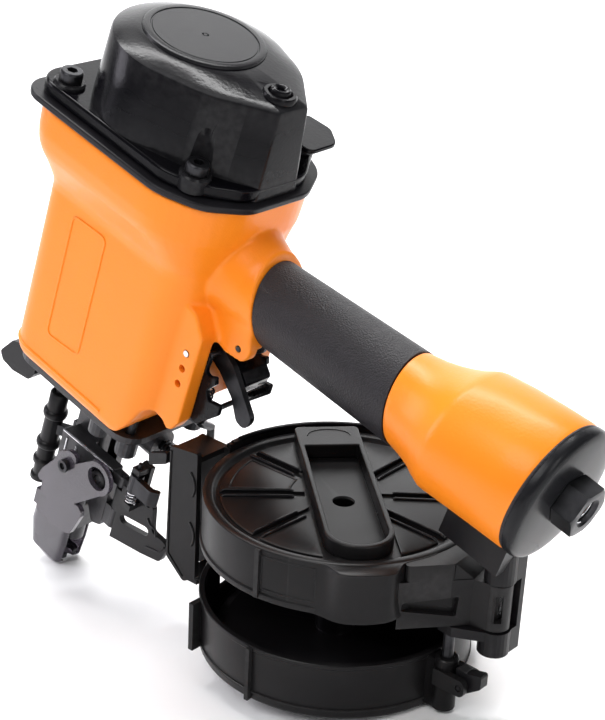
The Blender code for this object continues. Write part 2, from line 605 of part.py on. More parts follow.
def nosepiece():
    nose = prism("nosepiece", TOOL, rounded([(-9, -10, 2), (11, -10, 2), (11, 10, 2), (-9, 10, 2)], 3),
                 33, 83.6, "cast_alloy")
    join(nose, box("nose_neck", TOOL, (-5.5, -5.5, -8), (6.0, 5.5, 36)),
         rod("nose_tip", TOOL, "Z", (0, 0, -13.0), 4.2, 14.0, radius_top=5.0))
    side = prism("nose_side", TOOL,
                 rounded([(-7, 57, 2), (31, 58.5, 1), (31, 22, 1), (25, 19.5, 2), (20, 28, 3), (10, 30, 3),
                          (-7, 30, 2)], 4), -19.6, -14, plane="XZ")
    web = box("nose_web", TOOL, (-6, -15, 32), (9, -9, 56))
    stud = rod("wheel_stud", TOOL, "Y", (WHEEL[0], -21.0, WHEEL[1]), 2.0, 6.8, steps=12)
    join(nose, side, web, stud)
    for low, high in ((51.2, 57.4), (25.0, 37.0)):
        middle = (low + high) / 2
        join(nose, box(f"door_lug_{int(low)}", TOOL, (28, -19.4, low), (DOOR_HINGE[0], -15.0, high)),
             rod(f"nose_knuckle_{int(low)}", TOOL, "Z", (*DOOR_HINGE, middle), 2.6, high - low, steps=16))
    cut(nose, rod("driver_bore", TOOL, "Z", (0, 0, 30), 3.7, 160, steps=20),
        box("nail_slot", TOOL, (0, -4.2, 8), (20, 4.2, 78)),
        rod("nose_pin_bore", TOOL, "Z", (*DOOR_HINGE, 44), 1.5, 60, steps=12))
    wheel = [(2.4, 4.4), (4.6, 4.4), (5.2, 3.8), (6.6, 3.4), (7.2, 2.8), (7.2, 0.5), (6.6, 0.0), (2.4, 0.0)]
    depth_wheel = turned("depth_wheel", TOOL, wheel, "dark_plate", steps=24, axis="Y",
                         centre=(WHEEL[0], -20.0, WHEEL[1]))
    depth_wheel.rotation_euler = (math.pi / 2, 0, 0)


def nose_door():
    hinge = (*DOOR_HINGE, 44.0)
    door = prism("nose_door", TOOL,
                 rounded([(37.5, 59, 1), (48, 60, 2), (60, 57, 2), (63, 44, 2), (75, 44, 3), (72.5, 32, 3),
                          (60, 27.5, 4), (37.5, 21, 1)], 4), -20.2, -17.2, "dark_plate", "XZ", hinge)
    slot = prism("door_slot", TOOL, rounded([(43, 34, 2.4), (62, 39.5, 2.4), (60.6, 44.4, 2.4),
                                             (41.6, 38.9, 2.4)], 4), -30, -5, plane="XZ")
    wide = 3.0
    for low, high in ((50.8, 57.8), (19.0, 37.4)):
        cut(door, box(f"door_relief_{int(low)}", TOOL, (30, -22, low), (DOOR_HINGE[0] + wide, -13, high)))
    join(door, box("door_tongue", TOOL, (DOOR_HINGE[0], -20.0, 37.8), (42, -17.2, 50.4)),
         rod("door_knuckle", TOOL, "Z", (*DOOR_HINGE, 44.1), 2.6, 12.6, steps=16))
    x, y = LATCH
    join(door, box("latch_post", TOOL, (x - 2.5, -20.0, 50), (x + 3.5, -17.4, 76)))
    for low in (50.5, 72.4):
        join(door, box(f"latch_lug_{int(low)}", TOOL, (x - 2.4, y - 2.2, low), (x + 2.4, -18.0, low + 3.2)))
    cut(door, slot, rod("door_bore", TOOL, "Z", (*DOOR_HINGE, 44), 1.5, 40, steps=12),
        rod("latch_bore", TOOL, "Z", (x, y, 63), 1.45, 60, steps=12))
    rod("door_pin", TOOL, "Z", (*DOOR_HINGE, 41.2), 1.15, 32.0, "steel", steps=12)


def door_latch():
    x, y = LATCH
    latch = rod("door_latch", TOOL, "Z", (x, y, 66.9), 3.4, 10.2, "dark_plate", steps=20,
                pivot=(x, y, 64.0))
    arm = prism("latch_arm", TOOL,
                rounded([(x, y - 3.0, 0.5), (x + 12, y - 3.0, 1.5), (x + 15.5, y, 1), (x + 14.5, y + 2.4, 1),
                         (x + 11, y, 0.5), (x, y, 0.5)], 3), 62.6, 71.4)
    join(latch, arm, rod("latch_axle", TOOL, "Z", (x, y, 64.0), 1.05, 29.0, steps=12))
    coil("latch_spring", TOOL, (x, y, 57.8), 2.6, 0.5, 6.6, 4, "steel")


def feed_unit():
    turned("feed_cylinder", TOOL, [(2.4, 38), (8.0, 38), (8.0, 14), (2.4, 14)], "cast_alloy",
           steps=24, axis="X", centre=(0, 2, 71))
    pawl = prism("feed_pawl", TOOL,
                 rounded([(50, 65.5, 1), (58, 65.5, 2), (58, 77, 2), (50, 77, 1)], 3), -1.6, 5.6,
                 "black_steel", "XZ", (40, 2, 71))
    join(pawl, rod("feed_rod", TOOL, "X", (36, 2, 71), 2.0, 30, steps=16))
    coil("feed_spring", TOOL, (44.0, 2, 71), 3.6, 0.5, 9.6, 4, "steel", axis="X")


# --- work contact -------------------------------------------------------------------------
def work_contact():
    x, y = LINK_TOP
    arm = box("contact_arm", TOOL, (-14.5, -5.0, -32), (-11.5, 5.0, 50), "black_steel")
    foot = prism("contact_foot", TOOL, rounded([(-14.5, -5.9, 1), (1, -5.9, 2), (1, 5.9, 2), (-14.5, 5.9, 1)], 3),
                 -34.0, -31.0)
    join(arm, foot)
    cut(arm, rod("foot_hole", TOOL, "Z", (-2.0, 0, -33), 3.7, 12))
    path = [(-13, 0, 44), (-13, 10, 56), (-11, 14.4, 61), (0, 14.4, 62), (30, 14.4, 62), (46, 13.4, 63),
            (55, 11, 68), (60, 8, 78), (62, 5, 92), (62.4, 2, 101), (x, y + 3, 107), (x, y, 110),
            (x, y, 131.5)]
    link = finish(wire_mesh(path, 2.1), "contact_link", TOOL, (0, 0, 0), None)
    tab = prism("tube_tab", TOOL, [(-20.5, -9.5), (-13, -4.5), (-13, 0), (-20.5, -5.5)], 38, 44)
    join(arm, tab, link, rod("contact_collar", TOOL, "Z", (x, y, 112.3), 4.4, 2.4, steps=16))
    coil("contact_spring", TOOL, (x, y, 119.6), 3.7, 0.55, 10.6, 4, "steel")
    rib = [(2.9, 62), (4.1, 62), (4.1, 50), (5.2, 49), (5.2, 47), (4.1, 46), (4.1, 31), (5.2, 30), (5.2, 28),
           (4.1, 27), (4.1, 19), (5.0, 18), (5.0, 16), (3.8, 15), (3.8, 8), (4.8, 7), (4.8, 5), (0, 5), (0, 34),
           (2.9, 34)]
    turned("contact_tube", TOOL, rib, "grey_plastic", steps=16, centre=(-25.0, -8.0, 0))


def shield_ring(z, front, rear, half):
    return [(x, y, z) for x, y in body_outline(front, rear, half, 6.0, 3.0)]


def no_mar_shield():
    shield = loft("no_mar_shield", TOOL, [
        shield_ring(SHIELD_LOW_Z, -19, SHIELD_TIP_X, 7.4), shield_ring(SHIELD_LOW_Z + 3, -22.5, 1.6, 9.0),
        shield_ring(-22, -25.6, 2.6, 9.2), shield_ring(-5, -25.0, 2.8, 9.2), shield_ring(2, -19.0, 2.8, 9.2),
        shield_ring(17, -18.0, 2.8, 9.2), shield_ring(20, -15.6, 2.4, 9.0), shield_ring(21.4, -12.6, 0.6, 8.0)],
        "clear_pad")
    cut(shield, box("shield_inside", TOOL, (-16.4, -6.4, -34.4), (20, 6.4, 60)),
        box("shield_front_hollow", TOOL, (-22.4, -6.4, -30), (-12, 6.4, -6)),
        rod("shield_hole", TOOL, "Z", (0, 0, -36), 5.0, 20))
    x, z = HOOK
    strap = prism("shield_strap", TOOL,
                  rounded([(-13, 16, 2), (-7.5, 33, 3), (-1.5, 43, 4), (1, 51, 5), (8, 56, 6), (15, 54.5, 3)], 4)
                  + arc(x, z, 9.0, 140, -60, 16)
                  + rounded([(27, 36, 4), (24, 24, 3), (20, 10, 4), (4, 6, 3), (-10, 8, 3)], 4),
                  -27.6, -25.0, plane="XZ")
    cut(strap, rod("strap_eye", TOOL, "Y", (x, -26, z), 6.2, 12, steps=28))
    join(shield, box("shield_bridge", TOOL, (-9, -26.4, 9), (-1, -8.0, 18.4)), strap)
    screw = turned("shield_screw", TOOL, [(0, 1.2), (1.8, 1.2), (1.8, 2.4), (3.4, 2.4), (3.4, 0.0), (0, 0.0)],
                   "black_steel", steps=16, axis="Y", centre=(7.2, -28.0, 46.6))
    screw.rotation_euler = (math.pi / 2, 0, 0)


# --- magazine -----------------------------------------------------------------------------
def magazine_frame():
    wall = prism("magazine_frame", MAG, sector(63.8, 66.4, 34, 182, 30), 8, 78.5, "grey_plastic")
    far_side = box("throat_far_side", MAG, (-84, -5.6, 9), (-63.9, -2.8, 76))
    near_side = prism("throat_near_side", MAG,
                      rounded([(-84.5, 76.5, 1), (-67.0, 78.5, 1), (-67.0, 13, 1), (-74.7, 8.4, 2),
                               (-86.5, 18, 3)], 3), -23.6, -20.8, plane="XZ")
    link = box("throat_link", MAG, (-66.4, -5, 9), (-63.9, 2, 78))
    floor = box("throat_floor", MAG, (-78, -22, 9), (-67.2, -3, 11.6))
    roof = box("throat_roof", MAG, (-83.5, -22, 73.2), (-67.2, -3, 76))
    join(wall, link, far_side, near_side, floor, roof)
    return wall


BRIDGE_TURN = math.radians(-41.0)


def turned_prism(name, outline, low, high, turn):
    """Cutter or piece of the magazine drawn along X, then turned about the magazine's axis."""
    shape = prism(name, MAG, outline, low, high)
    shape.rotation_euler = (0, 0, turn)
    return shape


def magazine_cover():
    x, y = HINGE_XY
    r = MAGAZINE_R
    cover = rod("magazine_cover", MAG, "Z", (x, y, 57.1), 6.0, 22.2, "grey_plastic", pivot=(x, y, 57.0))
    disc = turned("cover_disc", MAG, [
        (0, COVER_TOP_Z - 1.6), (57.5, COVER_TOP_Z - 1.6), (58.5, COVER_TOP_Z), (r - 0.6, COVER_TOP_Z),
        (r, COVER_TOP_Z - 0.6), (r, COVER_LOW_Z + 3.2), (r + 0.8, COVER_LOW_Z + 2.6),
        (r + 0.8, COVER_LOW_Z), (59.4, COVER_LOW_Z), (59.4, 72.4), (0, 72.4)], steps=48)
    arm = prism("cover_arm", MAG, [(x + 2.5, y - 5.4), (x - 8, y - 7.5), (57, -31), (50, -20), (50, 22),
                                   (60, 16), (x - 2.0, y + 5.6)], 46.0, 68.2)
    trim = rod("cover_trim", MAG, "Z", (0, 0, 60), 59.4, 24.8, steps=48)
    cut(arm, trim)
    column = rod("bridge_column", MAG, "Z", (42, -37, 66.5), 13.0, 28.0)
    cut(column, trim)
    outer = rounded([(-56, -15, 2), (56, -15, 14.9), (56, 15, 14.9), (-56, 15, 2)], 6)
    inner = rounded([(-37, -12.6, 1), (53.6, -12.6, 12.5), (53.6, 12.6, 12.5), (-37, 12.6, 1)], 6)
    rails = turned_prism("bridge_rails", outer, COVER_TOP_Z - 2.5, 81.5, BRIDGE_TURN)
    channel = turned_prism("bridge_channel", inner, COVER_TOP_Z - 1.8, 90, BRIDGE_TURN)
    join(cover, disc, arm, column, rails)
    cut(cover, channel)
    keep = turned_prism("slot_keep", [(-70, -17), (70, -17), (70, 17), (-70, 17)], 60, 90, BRIDGE_TURN)
    for index, angle in enumerate((0, 42, 92, 180, 225, 268)):
        slot = box(f"cover_slot_{index + 1}", MAG, (20, -1.5, COVER_TOP_Z - 2.6), (56, 1.5, COVER_TOP_Z + 1),
                   turn_z=math.radians(angle))
        cut(slot, keep)
        cut(cover, slot)
    cut(cover, rod("axle_hole", MAG, "Z", (2, -2, 76), 5.0, 20),
        rod("cover_pin_bore", MAG, "Z", (x, y, 57), 1.85 + GAP, 60, steps=16),
        prism("cover_mouth", MAG, [(-70, -19), (-40, -14), (-40, -4), (-70, -4)], 45, 72.3))
    return cover


def rear_sections(grow):
    """Skin of the housing's rear barrel, drawn larger by a clearance."""
    rows = [(164, 188.6, 24, 21.5), (174, 190.2, 27.2, 25.6), (186, 192.2, 29.6, 28.8),
            (200, 194, 30.5, 30.3), (REAR_END_X, 196.2, REAR_R, REAR_R)]
    return [ellipse(x, middle, high + grow, wide + grow) for x, middle, high, wide in rows]


def magazine_hinge():
    x, y = HINGE_XY
    bracket = rod("magazine_bracket", MAG, "Z", (x, y, 75.6), 6.8, 13.6, "dark_plate")
    saddle = box("bracket_saddle", TOOL, (196, -9, 150), (227.5, 9, 172))
    cut(saddle, loft("saddle_trim", TOOL, rear_sections(GAP)))
    join(bracket, rod("bracket_low_knuckle", MAG, "Z", (x, y, 39.8), 6.8, 11.4),
         box("bracket_low_web", MAG, (x - 1, y, 34.1), (x + 6, y + 10, 45.5)),
         box("bracket_high_web", MAG, (x - 1, y, 68.8), (x + 6, y + 10, 82.4)),
         box("bracket_plate", MAG, (x - 1, y + 7.0, 34.1), (x + 6, y + 10, 82)), saddle)
    join(bracket, prism("rod_arm", MAG, [(64.6, -11.5), (72, -12.2), (x + 3, y - 5), (x - 3, y + 5),
                                         (66.5, -4.4)], 40.8, 45.4))
    cut(bracket, rod("bracket_bore", MAG, "Z", (x, y, 57), 2.2, 50, steps=16),
        rod("rod_socket", MAG, "Z", (*CUP_GUIDE, 43), 2.6 + GAP, 12, steps=16))
    for index, place in enumerate((203.0, 212.0)):
        cut(bracket, rod(f"bracket_hole_{index + 1}", TOOL, "Z", (place, 0, 160), 1.9, 40, steps=12),
            rod(f"bracket_sink_{index + 1}", TOOL, "Z", (place, 0, 147.2), 4.0, 12, steps=16))
        turned(f"bracket_screw_{index + 1}", TOOL, [
            (0, 163.0), (1.55, 163.0), (1.55, 152.8), (3.6, 152.8), (3.6, 149.6), (1.6, 149.6), (1.6, 151.0),
            (0, 151.0)], "black_steel", steps=16, centre=(place, 0, 0))
    rod("hinge_pin", MAG, "Z", (x, y, 57), 1.85, 45.0, "steel", steps=16)


CUP_GUIDE = (68.5, -8.0)
CATCH_PIN = (79.5, -7.8, 19.5)


def magazine_cup():
    r = MAGAZINE_R
    cup = turned("magazine_cup", MAG, [
        (0, 48), (5.0, 48), (6.0, 47), (6.0, 3.0), (59.4, 3.0), (59.4, CUP_RIM_Z), (r + 0.5, CUP_RIM_Z),
        (r + 0.5, CUP_RIM_Z - 2), (r, CUP_RIM_Z - 2.4), (r, 1.2), (r - 1.2, 0), (0, 0)], "grey_plastic",
        steps=48)
    guide = rod("cup_guide", MAG, "Z", (*CUP_GUIDE, 15.2), 5.2, 25.6)
    web = box("cup_guide_web", MAG, (59.0, -12, 2.6), (68, -4, 26.5))
    inside = rod("web_trim", MAG, "Z", (0, 0, 18), 59.4, 30.0, steps=48)
    cut(web, inside)
    rib = box("cup_rib", MAG, (4.8, -r - 2.5, 0.6), (7.4, -r + 1, CUP_RIM_Z - 0.4))
    fin = box("cup_fin", MAG, (-39.5, -r + 9, 2.0), (-36.5, -r + 15, CUP_RIM_Z - 1))
    cut(fin, inside)
    join(cup, web, guide, rib, fin)
    for index, y in enumerate((-12.8, -2.8)):
        ear = box(f"catch_ear_{index + 1}", MAG, (66, y - 1.5, CATCH_PIN[2] - 4), (82.5, y + 1.5, CATCH_PIN[2] + 4))
        join(cup, ear)
    cut(cup, rod("guide_bore", MAG, "Z", (*CUP_GUIDE, 13), 2.6 + GAP, 60, steps=16),
        rod("catch_bore", MAG, "Y", CATCH_PIN, 1.5, 40, steps=12),
        prism("cup_mouth", MAG, [(-75, -18), (-40, -15), (-40, -4), (-75, -4)], 8.8, 40))
    rod("cup_guide_rod", MAG, "Z", (*CUP_GUIDE, 23.8), 2.6, 42.4, "steel", steps=16)
    turned("nail_platform", MAG, [
        (6.5, 20), (9.0, 20), (9.0, 8.5), (50.0, 8.5), (54.0, 7.0), (54.0, 5.5), (6.5, 5.5)],
        "grey_plastic", steps=40)
    x, y, z = CATCH_PIN
    catch = prism("cup_catch", MAG,
                  rounded([(x - 4, z - 3, 1), (x + 1, z - 4, 1.5), (x + 9, z + 2, 1.5), (x + 9, z + 8.5, 1),
                           (x + 1, z + 6.5, 2), (x - 4, z + 8, 1)], 3), -10.9, -5.9, "grey_plastic", "XZ",
                  CATCH_PIN)
    join(catch, rod("catch_axle", MAG, "Y", CATCH_PIN, 1.15, 12.8, steps=12))


def build():
    main_housing()
    grip_sleeve()
    cylinder_cap()
    cap_fittings()
    cylinder_parts()
    rear_end()
    trigger_group()
    nose_base()
    nosepiece()
    nose_door()
    door_latch()
    feed_unit()
    work_contact()
    no_mar_shield()
    magazine_frame()
    magazine_cover()
    magazine_hinge()
    magazine_cup()


build()
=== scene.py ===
"""Looks of a pneumatic coil nail gun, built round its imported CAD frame.

Two drawing frames in millimetres are taken from the joints: MAG stands on the magazine's axis
and TOOL on the driver's axis, as the CAD model has them.
"""
import json
import math

import bmesh
import bpy
from mathutils import Matrix, Vector


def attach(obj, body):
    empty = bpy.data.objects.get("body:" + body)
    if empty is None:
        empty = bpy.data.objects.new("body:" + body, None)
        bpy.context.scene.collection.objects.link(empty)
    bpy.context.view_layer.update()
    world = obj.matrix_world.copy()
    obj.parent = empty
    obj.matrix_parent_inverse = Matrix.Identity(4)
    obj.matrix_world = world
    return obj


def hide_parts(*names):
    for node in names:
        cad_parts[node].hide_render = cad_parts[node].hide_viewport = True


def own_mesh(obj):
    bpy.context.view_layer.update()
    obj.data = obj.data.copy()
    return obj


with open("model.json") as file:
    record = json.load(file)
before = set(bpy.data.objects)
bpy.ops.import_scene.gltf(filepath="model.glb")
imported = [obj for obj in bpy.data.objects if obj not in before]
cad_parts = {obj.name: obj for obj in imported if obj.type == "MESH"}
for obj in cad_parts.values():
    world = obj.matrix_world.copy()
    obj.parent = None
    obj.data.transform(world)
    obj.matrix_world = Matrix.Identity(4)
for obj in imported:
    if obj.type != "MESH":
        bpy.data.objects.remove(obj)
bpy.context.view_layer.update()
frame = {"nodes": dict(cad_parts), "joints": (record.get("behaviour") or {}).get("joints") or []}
scene = bpy.context.scene
scene.view_settings.view_transform = "Standard"

MM = 0.001
GUN = bpy.data.collections.new("gun_looks")
SET = bpy.data.collections.new("studio")
scene.collection.children.link(GUN)
scene.collection.children.link(SET)


# --- drawing frames -----------------------------------------------------------------------
def joint(name):
    """The frame's record of a joint."""
    return next(item for item in frame["joints"] if item["name"] == name)


def drawing_frame(up, place, local):
    """Frame whose Z is up, tilted about the object's Y, with local millimetres at place."""
    up = Vector(up).normalized()
    along = Vector((up.z, 0.0, -up.x))
    across = Vector((0.0, 1.0, 0.0))
    origin = Vector(place) - (along * local[0] + across * local[1] + up * local[2]) * MM
    columns = (along * MM, across * MM, up * MM, origin)
    rows = [[column[i] for column in columns] for i in range(3)]
    return Matrix((*rows, (0, 0, 0, 1)))


HINGE = (84.5, 1.5)
SWING = joint("magazine_cover_swing")
MAG = drawing_frame(SWING["axis"], SWING["pos_m"], (*HINGE, 57.0))
TOOL = drawing_frame(joint("work_contact_press")["axis"], joint("trigger_pull")["pos_m"],
                     (58.5, 0.0, 152.0))


# --- materials ----------------------------------------------------------------------------
def edge_wear(material, place, colour, amount):
    """Rubbed outer edges: a lighter, patchy colour where the surface is most convex."""
    nodes, links = material.node_tree.nodes, material.node_tree.links
    ridge = nodes.new("ShaderNodeMapRange")
    ridge.inputs["From Min"].default_value = 0.53
    ridge.inputs["From Max"].default_value = 0.62
    ridge.inputs["To Max"].default_value = amount
    links.new(nodes.new("ShaderNodeNewGeometry").outputs["Pointiness"], ridge.inputs["Value"])
    patches = nodes.new("ShaderNodeTexNoise")
    patches.inputs["Scale"].default_value = 1.0 / 0.003
    links.new(place.outputs["Object"], patches.inputs["Vector"])
    share = nodes.new("ShaderNodeMath")
    share.operation = "MULTIPLY"
    links.new(ridge.outputs["Result"], share.inputs[0])
    links.new(patches.outputs["Fac"], share.inputs[1])
    rubbed = nodes.new("ShaderNodeMixRGB")
    rubbed.inputs["Color2"].default_value = (*[min(1.0, c * 1.25 + 0.03) for c in colour], 1)
    links.new(share.outputs["Value"], rubbed.inputs["Fac"])
    return rubbed


def surface(name, colour, rough, metallic=0.0, mottle=0.06, mottle_size=0.012, rough_spread=0.08,
            bump=0.05, grain=0.0008, coat=0.0, coat_rough=0.08, specular=0.5, speck=None, wear=0.7):
    """Principled material with uneven colour and gloss, worn edges, and a fine grain in relief."""
    material = bpy.data.materials.new(name)
    material.use_nodes = True
    nodes, links = material.node_tree.nodes, material.node_tree.links
    shader = nodes["Principled BSDF"]
    shader.inputs["Metallic"].default_value = metallic
    shader.inputs["Coat Weight"].default_value = coat
    shader.inputs["Coat Roughness"].default_value = coat_rough
    shader.inputs["Specular IOR Level"].default_value = specular
    place = nodes.new("ShaderNodeTexCoord")
    cloud = nodes.new("ShaderNodeTexNoise")
    cloud.inputs["Scale"].default_value = 1.0 / mottle_size
    cloud.inputs["Detail"].default_value = 5.0
    links.new(place.outputs["Object"], cloud.inputs["Vector"])
    tint = nodes.new("ShaderNodeValToRGB")
    tint.color_ramp.elements[0].position = 0.3
    tint.color_ramp.elements[1].position = 0.7
    tint.color_ramp.elements[0].color = (*[c * (1 - mottle) for c in colour], 1)
    tint.color_ramp.elements[1].color = (*[min(1.0, c * (1 + mottle)) for c in colour], 1)
    links.new(cloud.outputs["Fac"], tint.inputs["Fac"])
    rubbed = edge_wear(material, place, colour, wear)
    links.new(tint.outputs["Color"], rubbed.inputs["Color1"])
    links.new(rubbed.outputs["Color"], shader.inputs["Base Color"])
    spread = nodes.new("ShaderNodeMapRange")
    spread.inputs["To Min"].default_value = max(0.02, rough - rough_spread)
    spread.inputs["To Max"].default_value = min(1.0, rough + rough_spread)
    links.new(cloud.outputs["Fac"], spread.inputs["Value"])
    links.new(spread.outputs["Result"], shader.inputs["Roughness"])
    fine = nodes.new("ShaderNodeTexNoise")
    fine.inputs["Scale"].default_value = 1.0 / grain
    fine.inputs["Detail"].default_value = 3.0
    links.new(place.outputs["Object"], fine.inputs["Vector"])
    height = fine.outputs["Fac"]
    if speck:
        cell = nodes.new("ShaderNodeTexVoronoi")
        cell.inputs["Scale"].default_value = 1.0 / speck
        links.new(place.outputs["Object"], cell.inputs["Vector"])
        height = cell.outputs["Distance"]
    relief = nodes.new("ShaderNodeBump")
    relief.inputs["Strength"].default_value = bump
    relief.inputs["Distance"].default_value = grain
    links.new(height, relief.inputs["Height"])
    links.new(relief.outputs["Normal"], shader.inputs["Normal"])
    return material


ORANGE = surface("orange_paint", (0.94, 0.25, 0.012), 0.36, mottle=0.03, mottle_size=0.05,
                 rough_spread=0.05, bump=0.10, grain=0.0011, coat=0.08, coat_rough=0.2, specular=0.25)
GLOSS = surface("gloss_black_shell", (0.003, 0.0028, 0.004), 0.17, mottle=0.2, mottle_size=0.03,
                rough_spread=0.05, bump=0.05, grain=0.0016, specular=0.12)
RUBBER = surface("grip_rubber", (0.0135, 0.012, 0.0145), 0.50, mottle=0.25, mottle_size=0.004,
                 rough_spread=0.1, bump=0.45, grain=0.0006, speck=0.0008, specular=0.35)
SATIN = surface("satin_black_nylon", (0.0075, 0.007, 0.008), 0.32, mottle=0.15, mottle_size=0.02,
                rough_spread=0.08, bump=0.10, grain=0.0006, specular=0.18)
CHARCOAL = surface("charcoal_nylon", (0.0085, 0.008, 0.0085), 0.32, mottle=0.15, mottle_size=0.02,
                   rough_spread=0.07, bump=0.12, grain=0.0005, specular=0.15)
PLATE = surface("guard_plate_black", (0.012, 0.0115, 0.0135), 0.30, mottle=0.2, mottle_size=0.015,
                rough_spread=0.08, bump=0.08, grain=0.0009, specular=0.18)
BLACK_STEEL = surface("blackened_steel", (0.030, 0.030, 0.033), 0.36, metallic=0.85, mottle=0.3,
                      mottle_size=0.006, rough_spread=0.12, bump=0.08, grain=0.0005)
STEEL = surface("bright_steel", (0.56, 0.56, 0.58), 0.24, metallic=1.0, mottle=0.08,
                mottle_size=0.004, rough_spread=0.08, bump=0.05, grain=0.0004)
CAST = surface("dark_casting", (0.030, 0.029, 0.032), 0.36, metallic=0.5, mottle=0.25,
               mottle_size=0.005, rough_spread=0.12, bump=0.25, grain=0.0006)
SMOKE = surface("smoky_shield", (0.11, 0.095, 0.12), 0.2, mottle=0.12, mottle_size=0.012,
                rough_spread=0.06, bump=0.10, grain=0.0012, coat=0.2)
SMOKE.node_tree.nodes["Principled BSDF"].inputs["Transmission Weight"].default_value = 0.6
END_BLACK = surface("end_cap_black", (0.012, 0.012, 0.0135), 0.25, mottle=0.15, mottle_size=0.015,
                    rough_spread=0.06, bump=0.10, grain=0.0007, specular=0.14)


# --- mesh helpers -------------------------------------------------------------------------
def arc(cx, cy, radius, start, end, count):
    """Points along an arc, in degrees."""
    angles = [math.radians(start + (end - start) * i / (count - 1)) for i in range(count)]
    return [(cx + radius * math.cos(a), cy + radius * math.sin(a)) for a in angles]


def rounded(corners, count=6):
    """Outline whose corners (x, y, radius) are rounded by arcs."""
    points = []
    total = len(corners)
    for i, (x, y, radius) in enumerate(corners):
        here = Vector((x, y))
        before = (Vector(corners[i - 1][:2]) - here).normalized()
        after = (Vector(corners[(i + 1) % total][:2]) - here).normalized()
        if radius <= 0.0:
            points.append((x, y))
            continue
        half = before.angle(after) / 2
        centre = here + (before + after).normalized() * radius / math.sin(half)
        start = here + before * radius / math.tan(half) - centre
        sweep = start.angle_signed(here + after * radius / math.tan(half) - centre)
        for k in range(count):
            points.append(tuple(centre + Matrix.Rotation(-sweep * k / (count - 1), 2) @ start))
    return points


def sector(inner, outer, start, end, count):
    """Outline of a ring sector."""
    return arc(0, 0, outer, start, end, count) + arc(0, 0, inner, end, start, count)


def swap(plane, x, y, z):
    """Point of an outline drawn on the named plane."""
    if plane == "XZ":
        return (x, z, y)
    if plane == "YZ":
        return (z, x, y)
    return (x, y, z)


def extrude(outline, low, high, plane="XY"):
    """Closed prism of an outline."""
    bm = bmesh.new()
    lower = [bm.verts.new(swap(plane, x, y, low)) for x, y in outline]
    upper = [bm.verts.new(swap(plane, x, y, high)) for x, y in outline]
    count = len(outline)
    for i in range(count):
        k = (i + 1) % count
        bm.faces.new((lower[i], lower[k], upper[k], upper[i]))
    bm.faces.new(lower[::-1])
    bm.faces.new(upper)
    return bm


def skin(sections):
    """Closed shape through rings of points."""
    bm = bmesh.new()
    rings = [[bm.verts.new(point) for point in section] for section in sections]
    count = len(rings[0])
    for lower, upper in zip(rings, rings[1:]):
        for i in range(count):
            k = (i + 1) % count
            bm.faces.new((lower[i], lower[k], upper[k], upper[i]))
    bm.faces.new(rings[0][::-1])
    bm.faces.new(rings[-1])
    return bm


def spin(profile, steps=72):
    """Turn (radius, height) points about Z; points on the axis are shared."""
    bm = bmesh.new()
    rings = []
    for radius, height in profile:
        if radius < 1e-6:
            rings.append([bm.verts.new((0, 0, height))])
            continue
        turn = [2 * math.pi * i / steps for i in range(steps)]
        rings.append([bm.verts.new((radius * math.cos(a), radius * math.sin(a), height)) for a in turn])
    loop = list(zip(rings, rings[1:]))
    if len(rings[0]) > 1 and len(rings[-1]) > 1:
        loop.append((rings[-1], rings[0]))
    for first, second in loop:
        for i in range(steps):
            k = (i + 1) % steps
            corners = [first[i % len(first)], first[k % len(first)], second[k % len(second)],
                       second[i % len(second)]]
            unique = list(dict.fromkeys(corners))
            if len(unique) > 2:
                bm.faces.new(unique)
    return bm


def block(low, high):
    """Box between two corners."""
    bm = bmesh.new()
    centre = [(a + b) / 2 for a, b in zip(low, high)]
    size = [b - a for a, b in zip(low, high)]
    bmesh.ops.create_cube(bm, size=1.0, matrix=Matrix.Translation(centre) @ Matrix.Diagonal((*size, 1)))
    return bm


AIM = {"X": Matrix.Rotation(math.pi / 2, 4, "Y"), "Y": Matrix.Rotation(-math.pi / 2, 4, "X"),
       "-Y": Matrix.Rotation(math.pi / 2, 4, "X"), "Z": Matrix.Identity(4)}


def place(bm, axis="Z", at=(0, 0, 0), turn=0.0):
    """Turn a mesh that stands on Z towards an axis and move it."""
    matrix = Matrix.Translation(at) @ AIM[axis] @ Matrix.Rotation(turn, 4, "Z")
    bm.transform(matrix)
    return bm


def post(radius, length, steps=32, chamfer=0.4):
    """Rod standing on its own origin, with chamfered ends."""
    c = min(chamfer, radius * 0.4, length * 0.3)
    return spin([(0, 0), (radius - c, 0), (radius, c), (radius, length - c), (radius - c, length),
                 (0, length)], steps)


def helix(radius, wire, length, turns):
    """Coil spring about Z from 0 to length, as a tube."""
    per_turn, sides = 24, 8
    total = int(turns * per_turn)
    rings = []
    for i in range(total + 1):
        angle = 2 * math.pi * i / per_turn
        out = Vector((math.cos(angle), math.sin(angle), 0))
        centre = out * radius + Vector((0, 0, length * i / total))
        rings.append([tuple(centre + out * wire * math.cos(b) + Vector((0, 0, wire * math.sin(b))))
                      for b in [2 * math.pi * k / sides for k in range(sides)]])
    return skin(rings)


def tube_along(points, radius, sides=10):
    """Bent rod through points, with its corners kept as drawn."""
    path = [Vector(point) for point in points]
    rings = []
    side = Vector((0, 1, 0))
    for i, here in enumerate(path):
        ahead = (path[min(i + 1, len(path) - 1)] - path[max(i - 1, 0)]).normalized()
        side = (side - ahead * side.dot(ahead)).normalized()
        over = ahead.cross(side)
        turn = [2 * math.pi * k / sides for k in range(sides)]
        rings.append([tuple(here + side * radius * math.cos(a) + over * radius * math.sin(a)) for a in turn])
    return skin(rings)


def curve_points(points, per_span=6):
    """Catmull-Rom points through the given ones."""
    path = [Vector(point) for point in points]
    path = [path[0]] + path + [path[-1]]
    made = []
    for a, b, c, d in zip(path, path[1:], path[2:], path[3:]):
        for k in range(per_span):
            t = k / per_span
            made.append(0.5 * ((2 * b) + (c - a) * t + (2 * a - 5 * b + 4 * c - d) * t * t
                               + (3 * b - 3 * c + d - a) * t ** 3))
    made.append(path[-1])
    return made


